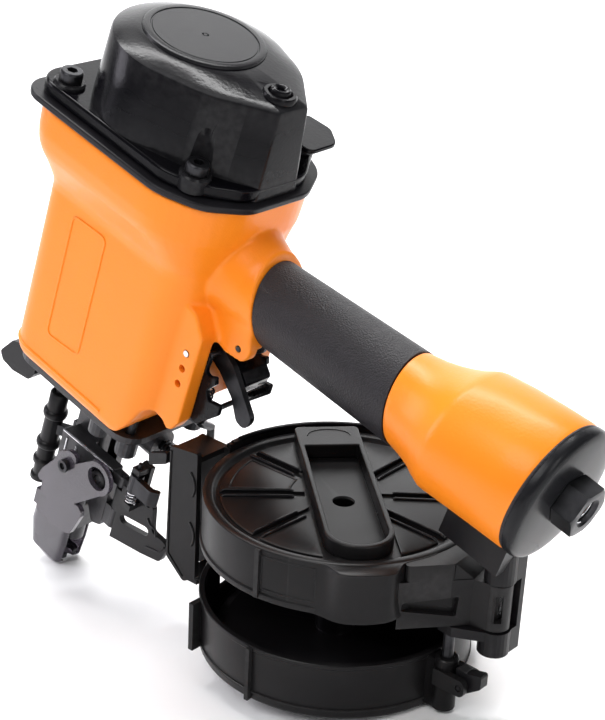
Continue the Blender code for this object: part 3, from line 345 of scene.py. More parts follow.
def solid(bm, name="shape", where=None):
    """Bmesh in millimetres of a drawing frame to a scene object in metres."""
    bmesh.ops.recalc_face_normals(bm, faces=bm.faces)
    bm.transform(where or TOOL)
    mesh = bpy.data.meshes.new(name)
    bm.to_mesh(mesh)
    bm.free()
    item = bpy.data.objects.new(name, mesh)
    GUN.objects.link(item)
    return item


def settle(item):
    """Apply an object's modifiers to its mesh."""
    graph = bpy.context.evaluated_depsgraph_get()
    mesh = bpy.data.meshes.new_from_object(item.evaluated_get(graph))
    old = item.data
    item.modifiers.clear()
    item.data = mesh
    bpy.data.meshes.remove(old)
    return item


def combine(item, others, operation):
    """Boolean of item with the others, which are used up."""
    for other in others:
        modifier = item.modifiers.new("combine", "BOOLEAN")
        modifier.operation = operation
        modifier.object = other
        modifier.solver = "EXACT"
    settle(item)
    for other in others:
        bpy.data.objects.remove(other, do_unlink=True)
    return item


def carve(item, *others):
    return combine(item, others, "DIFFERENCE")


def fuse(item, *others):
    return combine(item, others, "UNION")


def show(item, name, body, paint, replaces=(), edge=0.0, angle=35, segments=2):
    """Finish a piece: its name, material, rounded edges and the body that it rides on."""
    item.name = name
    item.data.materials.clear()
    item.data.materials.append(paint)
    item.data.polygons.foreach_set("material_index", [0] * len(item.data.polygons))
    item.data.shade_smooth()
    if edge > 0.0:
        bevel = item.modifiers.new("edges", "BEVEL")
        bevel.width = edge * MM
        bevel.segments = segments
        bevel.limit_method = "ANGLE"
        bevel.angle_limit = math.radians(angle)
        bevel.harden_normals = True
        bevel.use_clamp_overlap = True
    else:
        item.data.set_sharp_from_angle(angle=math.radians(angle))
    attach(item, body)
    if replaces:
        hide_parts(*replaces)
    return item


def piece(bm, name, body, paint, where=None, **more):
    """Mesh in a drawing frame to a finished piece."""
    return show(solid(bm, name, where), name, body, paint, **more)


def dress(node, paint, edge=0.0):
    """Give a CAD node that stays its finish and small rounded edges."""
    item = frame["nodes"][node]
    item.data.materials.clear()
    item.data.materials.append(paint)
    if edge > 0.0:
        weld = item.modifiers.new("weld", "WELD")
        weld.merge_threshold = 0.000004
        bevel = item.modifiers.new("edges", "BEVEL")
        bevel.width = edge * MM
        bevel.segments = 2
        bevel.limit_method = "ANGLE"
        bevel.angle_limit = math.radians(38)
        bevel.harden_normals = True


def melt(items, voxel, smooth):
    """Grow separate closed shapes into one casting with soft inner corners."""
    first = items[0]
    bm = bmesh.new()
    for item in items:
        bm.from_mesh(item.data)
    bm.to_mesh(first.data)
    bm.free()
    for item in items[1:]:
        bpy.data.objects.remove(item, do_unlink=True)
    remesh = first.modifiers.new("melt", "REMESH")
    remesh.mode = "VOXEL"
    remesh.voxel_size = voxel * MM
    soft = first.modifiers.new("soft", "SMOOTH")
    soft.iterations = smooth
    soft.factor = 0.5
    return settle(first)


def ellipse(x, middle, high, wide, count=96, lean=0.0):
    """Section across the handle; lean slants it along X."""
    angles = [2 * math.pi * i / count for i in range(count)]
    return [(x + lean * high * math.sin(a), wide * math.cos(a), middle + high * math.sin(a)) for a in angles]


# --- main housing -------------------------------------------------------------------------
def body_ring(z, front, rear, half, front_r, rear_r):
    """Rounded rectangle round the cylinder at one height."""
    outline = rounded([(front, -half, front_r), (rear, -half, rear_r), (rear, half, rear_r),
                       (front, half, front_r)], 12)
    return [(x, y, z) for x, y in outline]


def housing():
    """Cylinder body, neck, trigger cheeks and rear strips melted into one casting."""
    rows = [(88.6, -40, 52, 30, 12, 17), (90, -42.6, 54.6, 32.6, 13, 19), (93, -44, 56, 34, 14, 20),
            (184, -44, 56, 34, 14, 20), (188, -44.6, 56.2, 34.8, 14.5, 21), (192, -45.8, 56.8, 36.6, 15, 22),
            (198, -48, 58, 40, 17, 27), (203, -50, 59, 43, 18, 31), (207, -51.5, 60, 44.5, 19, 33),
            (213, -52.5, 60.5, 45.5, 20, 35), (225.6, -53, 60.5, 45.5, 20, 35)]
    body = solid(skin([body_ring(*row) for row in rows]))
    lower_rear = solid(extrude([(28, 60), (30, 88), (37, 93), (42, 101), (46, 111), (52, 114), (80, 114),
                                (80, 60)], -60, 60, "XZ"))
    carve(body, lower_rear)
    neck_rows = [(24, 193, 27, 24), (40, 191.5, 29, 24.5), (50, 189.8, 28, 23), (60, 187.6, 24.8, 20),
                 (70, 185.8, 21.8, 18.3), (96, 185.2, 20, 17.6)]
    neck = solid(skin([ellipse(*row) for row in neck_rows]))
    trim = solid(extrude([(65, 230), (92, 140), (140, 140), (140, 230)], -60, 60, "XZ"))
    carve(neck, trim)
    parts = [body, neck]
    trigger_cheek = rounded([(46, 184, 1), (50, 166, 5), (60, 160.5, 6), (70, 157.5, 6), (82.8, 158.8, 6),
                             (83.6, 166, 4), (77, 186, 4)], 6)
    rear_strip = rounded([(44, 174, 1), (57, 174, 6), (64.8, 163.5, 4), (64.8, 116, 3), (60.2, 106.6, 3),
                          (56, 111.5, 3), (44, 113, 1)], 6)
    for outline, inner, outer in ((trigger_cheek, 9.0, 16.5), (rear_strip, 18.0, 27.2)):
        for sign in (-1, 1):
            low, high = sorted((sign * inner, sign * outer))
            parts.append(solid(extrude(outline, low, high, "XZ")))
    cast = melt(parts, 0.9, 6)
    pocket = solid(block((50, -12.3, 139), (62, 12.3, 166)))
    between = solid(block((60, -11.6, 150), (90, 11.6, 166.5)))
    holes = [solid(place(post(1.9, 80, 24), "Y", (58.5, -40, z))) for z in (152.0, 143.5, 135.0)]
    pin = solid(place(post(1.7, 60, 24), "Y", (77, -30, 164)))
    carve(cast, pocket, between, pin, *holes)
    show(cast, "housing_casting", "tool_body", ORANGE, replaces=["main_housing"], angle=50)
    piece(place(post(1.6, 32.4, 24), "Y", (77, -16.2, 164)), "valve_cross_pin", "tool_body", BLACK_STEEL)
    for side, sign in (("near", -1), ("far", 1)):
        y = sign * 34.05
        border = rounded([(-19, 112, 3.2), (3, 114, 3.2), (3, 180, 3.2), (-19, 179, 3.2)], 6)
        path = [(x, y, z) for x, z in border]
        path = path + path[:2]
        piece(tube_along(path, 0.55, 8), f"panel_border_{side}", "tool_body", ORANGE, angle=80)
    foot = rounded([(24, -34, 0), (-44, -34, 14), (-44, 34, 14), (24, 34, 0)], 14)
    piece(tube_along([(x, y, 96.0) for x, y in foot], 0.8, 10), "foot_rim", "tool_body", ORANGE, angle=80)


def barrel():
    """Rear barrel with its conical front."""
    rows = [(157.0, 188.2, 20.3, 18.0, -0.21), (157.6, 188.2, 21.0, 18.7, -0.21),
            (160, 188.3, 21.5, 19.2, -0.19), (165, 188.6, 22.4, 20.2, -0.15), (170, 189.2, 23.6, 21.8, -0.10),
            (175, 190.0, 25.2, 23.8, -0.05), (179, 190.8, 26.9, 26.0, 0), (182.5, 191.6, 28.4, 27.9, 0),
            (184.6, 192.0, 29.2, 29.0, 0), (187, 192.4, 29.5, 29.4, 0), (200, 194.0, 30.1, 30.0, 0),
            (214, 195.2, 30.5, 30.4, 0), (227.6, 196.1, 30.7, 30.7, 0), (229, 196.2, 30.2, 30.2, 0)]
    bm = skin([ellipse(x, mid, high, wide, lean=lean) for x, mid, high, wide, lean in rows])
    piece(bm, "housing_barrel", "tool_body", ORANGE, angle=40)


def grip():
    """Rubber sleeve with slanted ends."""
    rows = []
    for i in range(24):
        x = 60 + 120 * i / 23
        mid = 184.3 + 0.047 * (x - 78)
        rows.append(ellipse(x, mid, 19.6 + 0.026 * (x - 70), 17.0 + 0.02 * (x - 70)))
    sleeve = solid(skin(rows))
    front = solid(extrude([(65.4, 230), (92.4, 140), (20, 140), (20, 230)], -60, 60, "XZ"))
    rear = solid(extrude([(148.0, 230), (166.9, 140), (240, 140), (240, 230)], -60, 60, "XZ"))
    carve(sleeve, front, rear)
    show(sleeve, "grip_rubber_sleeve", "tool_body", RUBBER, replaces=["grip_sleeve"], edge=1.4, angle=50,
         segments=4)


# --- cap ----------------------------------------------------------------------------------
def cap_outline(radius, rear, rear_half, corner=2.2):
    """Round at the front, bulging sides, and a narrow flat at the rear."""
    reach = rear - radius * 0.25
    side = radius * math.sin(math.radians(55))
    front = arc(0, 0, radius, 70, 290, 60)
    half = rounded([(*front[-1], 0), (radius * 0.84, -side * 0.93, radius * 1.2), (reach, -rear_half - 9, 18),
                    (rear, -rear_half, corner), (rear, 0, 0)], 8)[1:-1]
    return front + half + [(x, -y) for x, y in half[::-1]]


PLUG_X = 47
SCREWS = [(-38.5, -34.5), (41.0, -32.5), (41.0, 32.5), (-38.5, 34.5)]


def plate_outline(inset=0.0):
    """Guard plate, wider than the cap all round."""
    return rounded([(-57 + inset, -46.5 + inset, 13), (33, -46.5 + inset, 26), (53 - inset, -37 + inset, 19),
                    (64 - inset, -18, 19), (64 - inset, 18, 19), (53 - inset, 37 - inset, 19),
                    (33, 46.5 - inset, 26), (-57 + inset, 46.5 - inset, 13)], 10)


def cap():
    """Cylinder cap with its screws, plug, guard plate, hook plate and exhaust ribs."""
    def ring(z, radius, rear, half, corner=3.0):
        return [(x, y, z) for x, y in cap_outline(radius, rear, half, corner)]
    rows = [(229.6, 42.0, 60.6, 13, 3), (237.0, 41.4, 59.6, 12, 3), (252, 40.6, 58.2, 10.5, 2.6),
            (268.6, 39.8, 56.8, 8.8, 2.2), (269.7, 39.3, 56.3, 8.5, 2.2), (270.2, 38.5, 55.4, 8.1, 2.2)]
    rings = [ring(*row) for row in rows]
    rim = rings[-1]
    top_radius = 27.7
    for share, z in ((0.2, 271.1), (0.45, 272.2), (0.75, 273.3), (1.0, 273.9)):
        grow = [1 + share * (top_radius / math.hypot(x, y) - 1) for x, y, _ in rim]
        rings.append([(x * k, y * k, z) for k, (x, y, _) in zip(grow, rim)])
    shell = solid(skin(rings))
    bosses = [solid(place(post(7.2, 8.2, 40, 1.0), at=(x, y, 229.8))) for x, y in SCREWS]
    fuse(shell, *bosses)
    dip = [(0, 0), (7.0, 0), (7.0, 14), (6.2, 18), (4.0, 21), (0, 22)]
    pockets = [solid(place(spin(dip, 40), at=(x, y, 237.8))) for x, y in SCREWS]
    sink = [(0, -6), (4.9, -6), (4.9, 0), (8.0, 1.9), (8.0, 14), (0, 14)]
    seat = solid(place(spin(sink, 40), at=(PLUG_X, 0, 271.4)))
    carve(shell, *pockets, seat)
    show(shell, "cap_shell", "tool_body", GLOSS, replaces=["cylinder_cap"], edge=0.7, segments=3, angle=32)
    piece(extrude(plate_outline(4.0), 229.6, 235.8), "cap_flange", "tool_body", GLOSS, edge=1.3, segments=4)
    disc = [(0, 275.2), (0.9, 275.2), (1.0, 274.8), (1.5, 274.8), (1.6, 275.2), (23.2, 275.2),
            (23.4, 274.9), (24.0, 274.9), (24.2, 275.3), (26.4, 275.35), (27.2, 275.0), (27.6, 274.3),
            (27.6, 273.0), (0, 273.0)]
    piece(spin(disc, 96), "cap_disc", "tool_body", END_BLACK, angle=30)
    plug = [(0, 273.6), (1.6, 273.6), (1.8, 274.3), (2.6, 275.0), (3.6, 275.2), (4.3, 274.7), (4.6, 273.8),
            (4.6, 268.0), (0, 268.0)]
    piece(place(spin(plug, 40), at=(PLUG_X, 0, 0)), "cap_plug_screw", "tool_body", GLOSS,
          replaces=["cap_plug"], angle=30)
    seat_ring = [(5.0, 272.6), (5.6, 273.4), (7.0, 273.4), (7.7, 272.5), (7.7, 270.6), (5.0, 270.6)]
    piece(place(spin(seat_ring, 40), at=(PLUG_X, 0, 0)), "cap_plug_ring", "tool_body", GLOSS, angle=50)
    guard = solid(extrude(plate_outline(), 226.0, 229.2))
    show(guard, "top_guard", "tool_body", PLATE, replaces=["top_guard_plate"], edge=0.9, segments=3)
    tab = rounded([(34, 20, 2), (57, 20, 4), (56.5, 38, 7), (46, 45.5, 6), (32, 44, 3)], 8)
    lug = solid(extrude(tab, 243.2, 245.4))
    show(lug, "cap_hook_plate", "tool_body", GLOSS, edge=0.7, segments=3)
    for index, (x, y) in enumerate(SCREWS):
        cap_screw(index + 1, (x, y, 237.9))
    for index in range(4):
        low = 247 + 4.6 * index
        bar = extrude(sector(40.2, 43.6, 122, 164, 20), low, low + 2.2)
        replaced = ["exhaust_louvre"] if index == 0 else []
        piece(bar, f"exhaust_rib_{index + 1}", "tool_body", GLOSS, replaces=replaced, edge=0.5)


def cap_screw(index, at):
    """Socket-head screw with a hexagonal recess."""
    radius, height, socket = 5.2, 5.0, 2.5
    profile = [(0, 0), (radius - 0.2, 0), (radius, 0.3), (radius, height - 0.7), (radius - 0.7, height),
               (0, height)]
    head = solid(place(spin(profile, 40), "Z", at))
    recess = bmesh.new()
    bmesh.ops.create_cone(recess, cap_ends=True, segments=6, radius1=socket, radius2=socket,
                          depth=height * 1.2, matrix=Matrix.Translation((0, 0, height)))
    carve(head, solid(place(recess, "Z", at)))
    name = f"cap_screw_{index}"
    show(head, f"{name}_head", "tool_body", BLACK_STEEL, replaces=[name], edge=0.25)


# --- end cap ------------------------------------------------------------------------------
BARREL_AXIS = (0, 0, 196.2)
INLET_AXIS = (0, 0, 197.4)
NUT_MIDDLE = (242.65, 0, 197.4)


def end_cap():
    """Rear disc, its gasket and the hexagonal air inlet."""
    profile = [(8.0, 237.3), (15.0, 237.2), (22.0, 236.8), (26.8, 236.2), (28.6, 235.8), (29.8, 235.1),
               (30.5, 234.0), (30.8, 232.8), (30.8, 230.8), (30.2, 230.3), (24.6, 230.3), (24.6, 226.0),
               (8.0, 226.0)]
    piece(place(spin(profile, 96), "X", BARREL_AXIS), "end_cap_disc", "tool_body", END_BLACK,
          replaces=["end_cap"], angle=28)
    gasket = [(26, 228.9), (30.1, 228.9), (30.4, 229.6), (30.1, 230.3), (26, 230.3)]
    piece(place(spin(gasket, 96), "X", BARREL_AXIS), "end_cap_gasket", "tool_body", RUBBER,
          replaces=["end_cap_seal"], angle=30)
    nut = bmesh.new()
    bmesh.ops.create_cone(nut, cap_ends=True, segments=6, radius1=11.8, radius2=11.8, depth=10.2)
    nut = solid(place(nut, "X", NUT_MIDDLE))
    dome = solid(place(spin([(0, -6), (14, -6), (14, 3.4), (10.4, 5.2), (0, 5.2)], 64), "X", NUT_MIDDLE))
    combine(nut, [dome], "INTERSECT")
    bore = [(0, -14), (5.2, -14)]
    for turn in range(9):
        bore += [(5.2, -12 + 1.9 * turn), (6.0, -11.1 + 1.9 * turn)]
    bore += [(6.2, 4.2), (7.2, 6.0), (0, 6.0)]
    carve(nut, solid(place(spin(bore, 48), "X", NUT_MIDDLE)))
    show(nut, "inlet_nut", "tool_body", BLACK_STEEL, replaces=["air_inlet"], edge=0.35)
    piece(place(helix(5.5, 0.5, 15.0, 9), "X", (231.2, 0, 197.4)), "inlet_thread", "tool_body", STEEL,
          angle=70)
    collar = [(5.6, 236.2), (9.6, 236.2), (9.6, 237.6), (8.9, 238.3), (5.6, 238.3)]
    piece(place(spin(collar, 64), "X", INLET_AXIS), "inlet_collar", "tool_body", BLACK_STEEL, angle=30)


def bundle(meshes):
    """Several closed shapes as one mesh."""
    whole = bmesh.new()
    for bm in meshes:
        mesh = bpy.data.meshes.new("bundle")
        bm.to_mesh(mesh)
        bm.free()
        whole.from_mesh(mesh)
        bpy.data.meshes.remove(mesh)
    return whole


def turned(bm, degrees):
    bm.transform(Matrix.Rotation(math.radians(degrees), 4, "Z"))
    return bm


# --- magazine -----------------------------------------------------------------------------
BRIDGE = -41.0
PANEL = -23.7
SLOTS = (0, 42, 92, 180, 225, 268)


def swell(z, half, reach, soft):
    """Ring of the wall's bulge under the bridge: outer edge swelling out of the wall."""
    outer = []
    for k in range(61):
        angle = -30 + k
        lift = reach / (1 + math.exp((abs(angle) - half) / soft))
        outer.append((62.05 + lift, angle))
    ring = [(r * math.cos(math.radians(a)), r * math.sin(math.radians(a)), z) for r, a in outer]
    inner = [(59.8 * math.cos(math.radians(a)), 59.8 * math.sin(math.radians(a)), z) for _, a in outer[::-1]]
    return ring + inner


def cover():
    """Magazine lid: shell, raised pads, ridges and the bridge across it."""
    wall = [(0, 74.3), (56.2, 74.3), (57.0, 75.0), (57.6, 76.0), (58.2, 76.3), (61.4, 76.3), (61.9, 75.9),
            (62.0, 75.4), (62.0, 55.6), (62.8, 55.0), (62.8, 52.8), (62.5, 52.4), (59.4, 52.4), (59.4, 72.4),
            (0, 72.4)]
    shell = solid(spin(wall, 128), where=MAG)
    channel = rounded([(-37, -12.4, 1), (53.4, -12.4, 12.3), (53.4, 12.4, 12.3), (-37, 12.4, 1)], 12)
    mouth = extrude([(-70, -19), (-40, -14), (-40, -4), (-70, -4)], 45, 72.3)
    carve(shell, solid(turned(extrude(channel, 73.7, 90), BRIDGE), where=MAG),
          solid(place(post(5.0, 30, 40), at=(2, -2, 60)), where=MAG), solid(mouth, where=MAG))
    show(shell, "cover_shell", "magazine_cover", CHARCOAL, replaces=["magazine_cover"], edge=0.35, angle=40)
    pad_profile = [(9, 73.9), (9, 75.2), (9.6, 75.5), (53.6, 75.5), (54.4, 75.1), (54.8, 73.9)]
    pads = solid(spin(pad_profile, 128), where=MAG)
    slots = [solid(turned(block((17, -2.3, 70), (60, 2.3, 80)), a), where=MAG) for a in SLOTS]
    keep = solid(turned(block((-70, -16.6, 70), (70, 16.6, 80)), BRIDGE), where=MAG)
    carve(pads, keep, *slots)
    show(pads, "cover_pads", "magazine_cover", CHARCOAL, edge=0.5, segments=3)
    ridges = []
    for a in SLOTS:
        start = 22 if a not in (180, 268) else 27
        for y in (-2.6, 2.6):
            ridge = [(start, y, 75.5), (start + 1, y, 75.9), (52.4, y, 75.9), (53.4, y, 75.3)]
            ridges.append(turned(tube_along(ridge, 0.75, 8), a))
    piece(bundle(ridges), "cover_ridges", "magazine_cover", GLOSS, where=MAG, angle=60)
    band = [(x, y, 75.1) for x, y in arc(0, 0, 50.5, 186, 219, 16)]
    band += [(x, y, 75.1) for x, y in arc(0, 0, 24.0, 214, 191, 8)]
    piece(tube_along(band + band[:2], 0.8, 8), "cover_patch_border", "magazine_cover", CHARCOAL, where=MAG,
          angle=70)
    outer = rounded([(-56, -15, 2.5), (56, -15, 14.9), (56, 15, 14.9), (-56, 15, 2.5)], 14)
    rails = solid(turned(extrude(outer, 74.5, 81.5), BRIDGE), where=MAG)
    carve(rails, solid(turned(extrude(channel, 70, 90), BRIDGE), where=MAG))
    show(rails, "cover_bridge", "magazine_cover", CHARCOAL, edge=0.9, segments=3)
    half_turn = [math.pi * (0.5 + k / 20) for k in range(21)]
    mark = [(-46.5 + 6.2 * math.cos(a), 10.0 * math.sin(a), 81.45) for a in half_turn]
    piece(turned(tube_along(mark, 0.4, 8), BRIDGE), "bridge_mark", "magazine_cover", CHARCOAL, where=MAG,
          angle=80)
    rise = [(52.4, 13.5, 7.2, 2.6), (54.5, 13.0, 6.8, 2.4), (58, 12.4, 6.6, 2.0), (64, 12.0, 6.6, 1.6),
            (72, 12.0, 6.9, 1.4), (74.4, 12.2, 7.4, 1.3), (75.6, 12.3, 7.7, 1.3), (76.1, 12.1, 7.2, 1.3)]
    bulge = [swell(*row) for row in rise]
    piece(turned(skin(bulge), BRIDGE), "bridge_foot", "magazine_cover", CHARCOAL, where=MAG, angle=45)
    frames = []
    low = [(x, y, 57.6) for x, y in arc(0, 0, 61.9, -82.6, -60, 14)]
    high = [(x, y, 73.4) for x, y in arc(0, 0, 61.9, -60, -82.6, 14)]
    frames.append(tube_along(low + high + low[:2], 0.5, 8))
    frames.append(turned(block((61.6, -1.1, 53), (63.6, 1.1, 75.8)), -84))
    piece(bundle(frames), "cover_wall_ribs", "magazine_cover", CHARCOAL, where=MAG, angle=60)


def cover_arm():
    """Arm that joins the lid to its knuckle on the hinge."""
    x, y = HINGE
    plan = [(x + 2.5, y - 5.4), (x - 8, y - 7.5), (57, -31), (50, -20), (50, 22), (60, 16),
            (x - 2.0, y + 5.6)]
    low = solid(extrude(plan, 46.0, 68.2), where=MAG)
    upper = rounded([(71.2, -12.8, 1.5), (58.5, -29.0, 2), (50, -20, 0), (50, 20, 0), (60, 15, 1),
                     (70, 8, 4)], 5)
    high = solid(extrude(upper, 60, 75.9), where=MAG)
    wedge = solid(skin([[(71.0, -12.5, 60), (76.6, -5.2, 60), (74, 7.0, 60), (68, 8, 60)],
                        [(71.0, -12.5, 68.0), (76.6, -5.2, 68.0), (74, 7.0, 68.0), (68, 8, 68.0)],
                        [(70.4, -12.2, 75.6), (71.0, -11.6, 75.6), (70, 7.0, 75.6), (66, 8, 75.6)]]),
                  where=MAG)
    arm = fuse(low, high, wedge)
    ring = solid(place(post(59.4, 40, 128, 0.1), at=(0, 0, 40)), where=MAG)
    knuckle = solid(place(post(6.0, 22.2, 48, 0.5), at=(x, y, 46.0)), where=MAG)
    face = Matrix.Translation((57, -31, 0)) @ Matrix.Rotation(math.atan2(25, 19.5), 4, "Z")
    groove = rounded([(1.5, 54.6, 1.2), (25.4, 50.6, 0.8), (26.2, 60.0, 0.8), (2, 58.4, 1.2)], 5)
    notch = extrude(groove, -3, 3.2, "XZ")
    notch.transform(face)
    window = block((x + 1.6, y - 9, 50.5), (x + 5.0, y + 5, 63.5))
    carve(arm, ring, solid(notch, where=MAG), solid(place(post(5.7, 30, 48), at=(x, y, 42)), where=MAG))
    carve(knuckle, solid(place(post(2.2, 40, 32), at=(x, y, 40)), where=MAG), solid(window, where=MAG))
    show(knuckle, "cover_knuckle", "magazine_cover", CHARCOAL, edge=0.4)
    show(arm, "cover_arm", "magazine_cover", CHARCOAL, edge=0.6, segments=2)


def cup():
    """Lower half of the magazine, with the guide and ears for its catch."""
    wall = [(0, 48), (5.0, 48), (5.6, 47.6), (6.0, 46.8), (6.0, 3.4), (59.0, 3.4), (59.4, 3.8), (59.4, 26.6),
            (59.9, 27.5), (62.1, 27.5), (62.5, 27.1), (62.5, 25.6), (62.0, 25.1), (62.0, 1.8), (61.6, 0.9),
            (60.6, 0.0), (0, 0)]
    shell = solid(spin(wall, 128), where=MAG)
    guide = solid(place(post(5.2, 25.6, 40, 0.6), at=(68.5, -8.0, 2.4)), where=MAG)
    web = solid(block((59.6, -12, 2.6), (68, -4, 26.5)), where=MAG)
    ear = rounded([(66, 15.5, 1), (82.5, 15.5, 3), (82.5, 23.5, 3), (66, 23.5, 1)], 6)
    ears = [solid(extrude(ear, y - 1.5, y + 1.5, "XZ"), where=MAG) for y in (-12.8, -2.8)]
    fuse(shell, guide, web, *ears)
    mouth = extrude([(-75, -18), (-40, -15), (-40, -4), (-75, -4)], 8.8, 40)
    bore = solid(place(post(2.95, 60, 32), at=(68.5, -8.0, -10)), where=MAG)
    pin = solid(place(post(1.5, 40, 24), "Y", (79.5, -27, 19.5)), where=MAG)
    carve(shell, solid(mouth, where=MAG), bore, pin)
    show(shell, "cup_shell", "magazine_cup", CHARCOAL, replaces=["magazine_cup"], edge=0.35, angle=42)
    ribs = [turned(block((61.4, -1.0, 0.8), (64.2, 1.0, 26.8)), a) for a in (-86.0, 62.0)]
    ribs.append(block((-39.5, -55.0, 2.0), (-36.9, -48.2, 26.0)))
    lip = [(61.8, 5.4), (62.5, 5.1), (62.5, 4.4), (61.8, 4.0)]
    ribs.append(spin(lip, 128))
    piece(bundle(ribs), "cup_ribs", "magazine_cup", CHARCOAL, where=MAG, angle=40)
    foot = spin([(9, 3.2), (9, 4.4), (10, 4.8), (20, 4.8), (20.6, 4.2), (20.6, 3.2)], 64)
    piece(foot, "cup_floor_ring", "magazine_cup", CHARCOAL, where=MAG, angle=30)


def magazine_rear():
    """Rims and ribs on the fixed frame."""
    rim = [(x, y, 78.2) for x, y in arc(0, 0, 65.0, 36, 178, 60)]
    piece(tube_along(rim, 1.35, 10), "frame_rim", "tool_body", GLOSS, where=MAG, angle=70)
    low = [(x, y, 60) for x, y in arc(0, 0, 65.5, 40, 176, 60)]
    piece(tube_along(low, 0.8, 8), "frame_rib", "tool_body", CHARCOAL, where=MAG, angle=70)
    hooks = []
    for z in (62.0, 36.0):
        bend = [(-71, z + 6), (-68.6, z + 2.5), (-68.0, z - 2), (-69.4, z - 6)]
        hooks.append(tube_along(curve_points([(x, PANEL, height) for x, height in bend]), 0.6, 8))
    seam = [(-83.6, 74.5), (-84.6, 40), (-84.8, 20), (-75, 11)]
    hooks.append(tube_along([(x, PANEL, height) for x, height in seam], 0.5, 8))
    piece(bundle(hooks), "throat_panel_ribs", "tool_body", CHARCOAL, where=MAG, angle=70)


# --- nose ---------------------------------------------------------------------------------
WHEEL_X, WHEEL_Z = 26.0, 50.4
TEETH = 18


def nose():
    """Casting that guides the driver, its door lugs and its rails."""
    core = solid(extrude(rounded([(-9, -10, 2), (11, -10, 2), (11, 10, 2), (-9, 10, 2)], 5), 33, 83.6))
    neck = solid(block((-5.5, -5.5, -8), (6.0, 5.5, 36)))
    tip = solid(place(spin([(0, 0), (4.0, 0), (5.0, 1.2), (5.0, 14), (0, 14)], 40), at=(0, 0, -19.5)))
    plate = rounded([(-7, 57, 2), (31, 58.5, 1), (31, 22, 1), (25, 19.5, 2), (20, 28, 3), (10, 30, 3),
                     (-7, 30, 2)], 6)
    side = solid(extrude(plate, -19.6, -14, "XZ"))
    web = solid(block((-6, -15, 32), (9, -9, 56)))
    stud = solid(place(post(2.0, 6.8, 32), "Y", (WHEEL_X, -24.3, WHEEL_Z)))
    parts = [neck, tip, side, web, stud]
    for low, high in ((51.2, 57.4), (25.0, 37.0)):
        parts.append(solid(block((28, -19.4, low), (36.0, -15.0, high))))
        parts.append(solid(place(post(2.6, high - low, 32), at=(36.0, -17.2, low))))
    fuse(core, *parts)
    carve(core, solid(place(post(3.7, 200, 40), at=(0, 0, -50))), solid(block((0, -4.2, 8), (20, 4.2, 78))),
          solid(place(post(1.5, 70, 24), at=(36.0, -17.2, 10))))
    show(core, "nose_casting", "tool_body", CAST, replaces=["nosepiece"], edge=0.5)
    ribs = [tube_along([(-6.2, -19.7, 56.0), (30.2, -19.7, 57.4)], 0.8, 10)]
    ribs += [tube_along([(x, -19.7, 34), (x, -19.7, 53)], 0.6, 8) for x in (-3.0, 4.0)]
    piece(bundle(ribs), "nose_rails", "tool_body", STEEL, angle=60)


def wheel():
    """Depth wheel with a notched rim."""
    rim = [(2.4, 0), (6.6, 0), (7.2, 0.5), (7.2, 2.8), (6.7, 3.4), (5.6, 3.5), (5.3, 3.1), (4.9, 3.1),
           (4.6, 3.6), (4.5, 4.2), (4.1, 4.4), (2.4, 4.4)]
    disc = solid(place(spin(rim, 72), "-Y", (WHEEL_X, -20.0, WHEEL_Z)))
    teeth = []
    for k in range(TEETH):
        a = 2 * math.pi * k / TEETH
        at = (WHEEL_X + 7.45 * math.cos(a), -19, WHEEL_Z + 7.45 * math.sin(a))
        teeth.append(solid(place(post(0.55, 6, 12), "-Y", at)))
    carve(disc, *teeth)
    show(disc, "depth_wheel_disc", "depth_wheel", SATIN, replaces=["depth_wheel"], angle=30)


def contact_parts():
    """Ribbed boot on the contact tube."""
    rib = [(2.9, 62), (4.4, 62), (4.9, 61.2), (4.9, 51.4), (6.0, 50.6), (6.3, 49.6), (6.3, 48.2),
           (6.0, 47.2), (4.9, 46.4), (4.9, 31.6), (6.0, 30.8), (6.3, 29.8), (6.3, 28.6), (6.0, 27.6),
           (4.8, 26.8), (4.7, 19.6), (5.8, 18.8), (6.0, 17.8), (5.8, 16.4), (4.6, 15.4), (4.3, 8.4),
           (5.4, 7.6), (5.4, 5.6), (4.6, 5), (0, 5), (0, 34), (2.9, 34)]
    piece(place(spin(rib, 48), at=(-25.0, -8.0, 0)), "contact_tube_boot", "work_contact", SATIN,
          replaces=["contact_tube"], angle=40)


def trigger_area():
    """Guides and pins round the trip lever."""
    plate = rounded([(60, 155, 1), (66, 151, 2), (65, 141, 2), (71.5, 144.5, 0.8), (72.6, 141, 1),
                     (68.6, 135, 2), (71.0, 131, 1.5), (78.6, 133, 1), (78.6, 127.4, 1), (68, 114.8, 2),
                     (62.5, 117, 2), (60.4, 131, 2)], 5)
    piece(extrude(plate, -18.8, -16.2, "XZ"), "trip_guide_near", "tool_body", GLOSS, edge=0.5)
    piece(extrude(plate, 14.6, 17.2, "XZ"), "trip_guide_far", "tool_body", GLOSS, edge=0.5)
    cross = bundle([place(post(1.5, 34, 24), "Y", (64.2, -18, 152)),
                    place(post(1.3, 34, 24), "Y", (70, -18, 121.5))])
    piece(cross, "trip_guide_pins", "tool_body", BLACK_STEEL, angle=40)


def spring(name, body, node, mesh, at, where_axis="Z"):
    """Coil in place of a CAD spring node, drawn at one length, with a mesh of its own."""
    item = piece(place(mesh, where_axis, at), name, body, BLACK_STEEL, replaces=[node], angle=70)
    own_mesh(item)


def springs():
    """The coils that the contact, the feed pawl and the head valve press shorter, each drawn here at one
    length.
    """
    spring("contact_coil", "tool_body", "contact_spring", helix(3.7, 0.5, 16.0, 6), (62.5, -10.4, 114.2))
    spring("feed_coil", "tool_body", "feed_spring", helix(3.6, 0.45, 9.2, 5), (39.2, 2, 71),
           "X")
    spring("head_valve_coil", "tool_body", "head_valve_spring", helix(15.0, 1.1, 43.0, 5), (0, 0, 219.4))


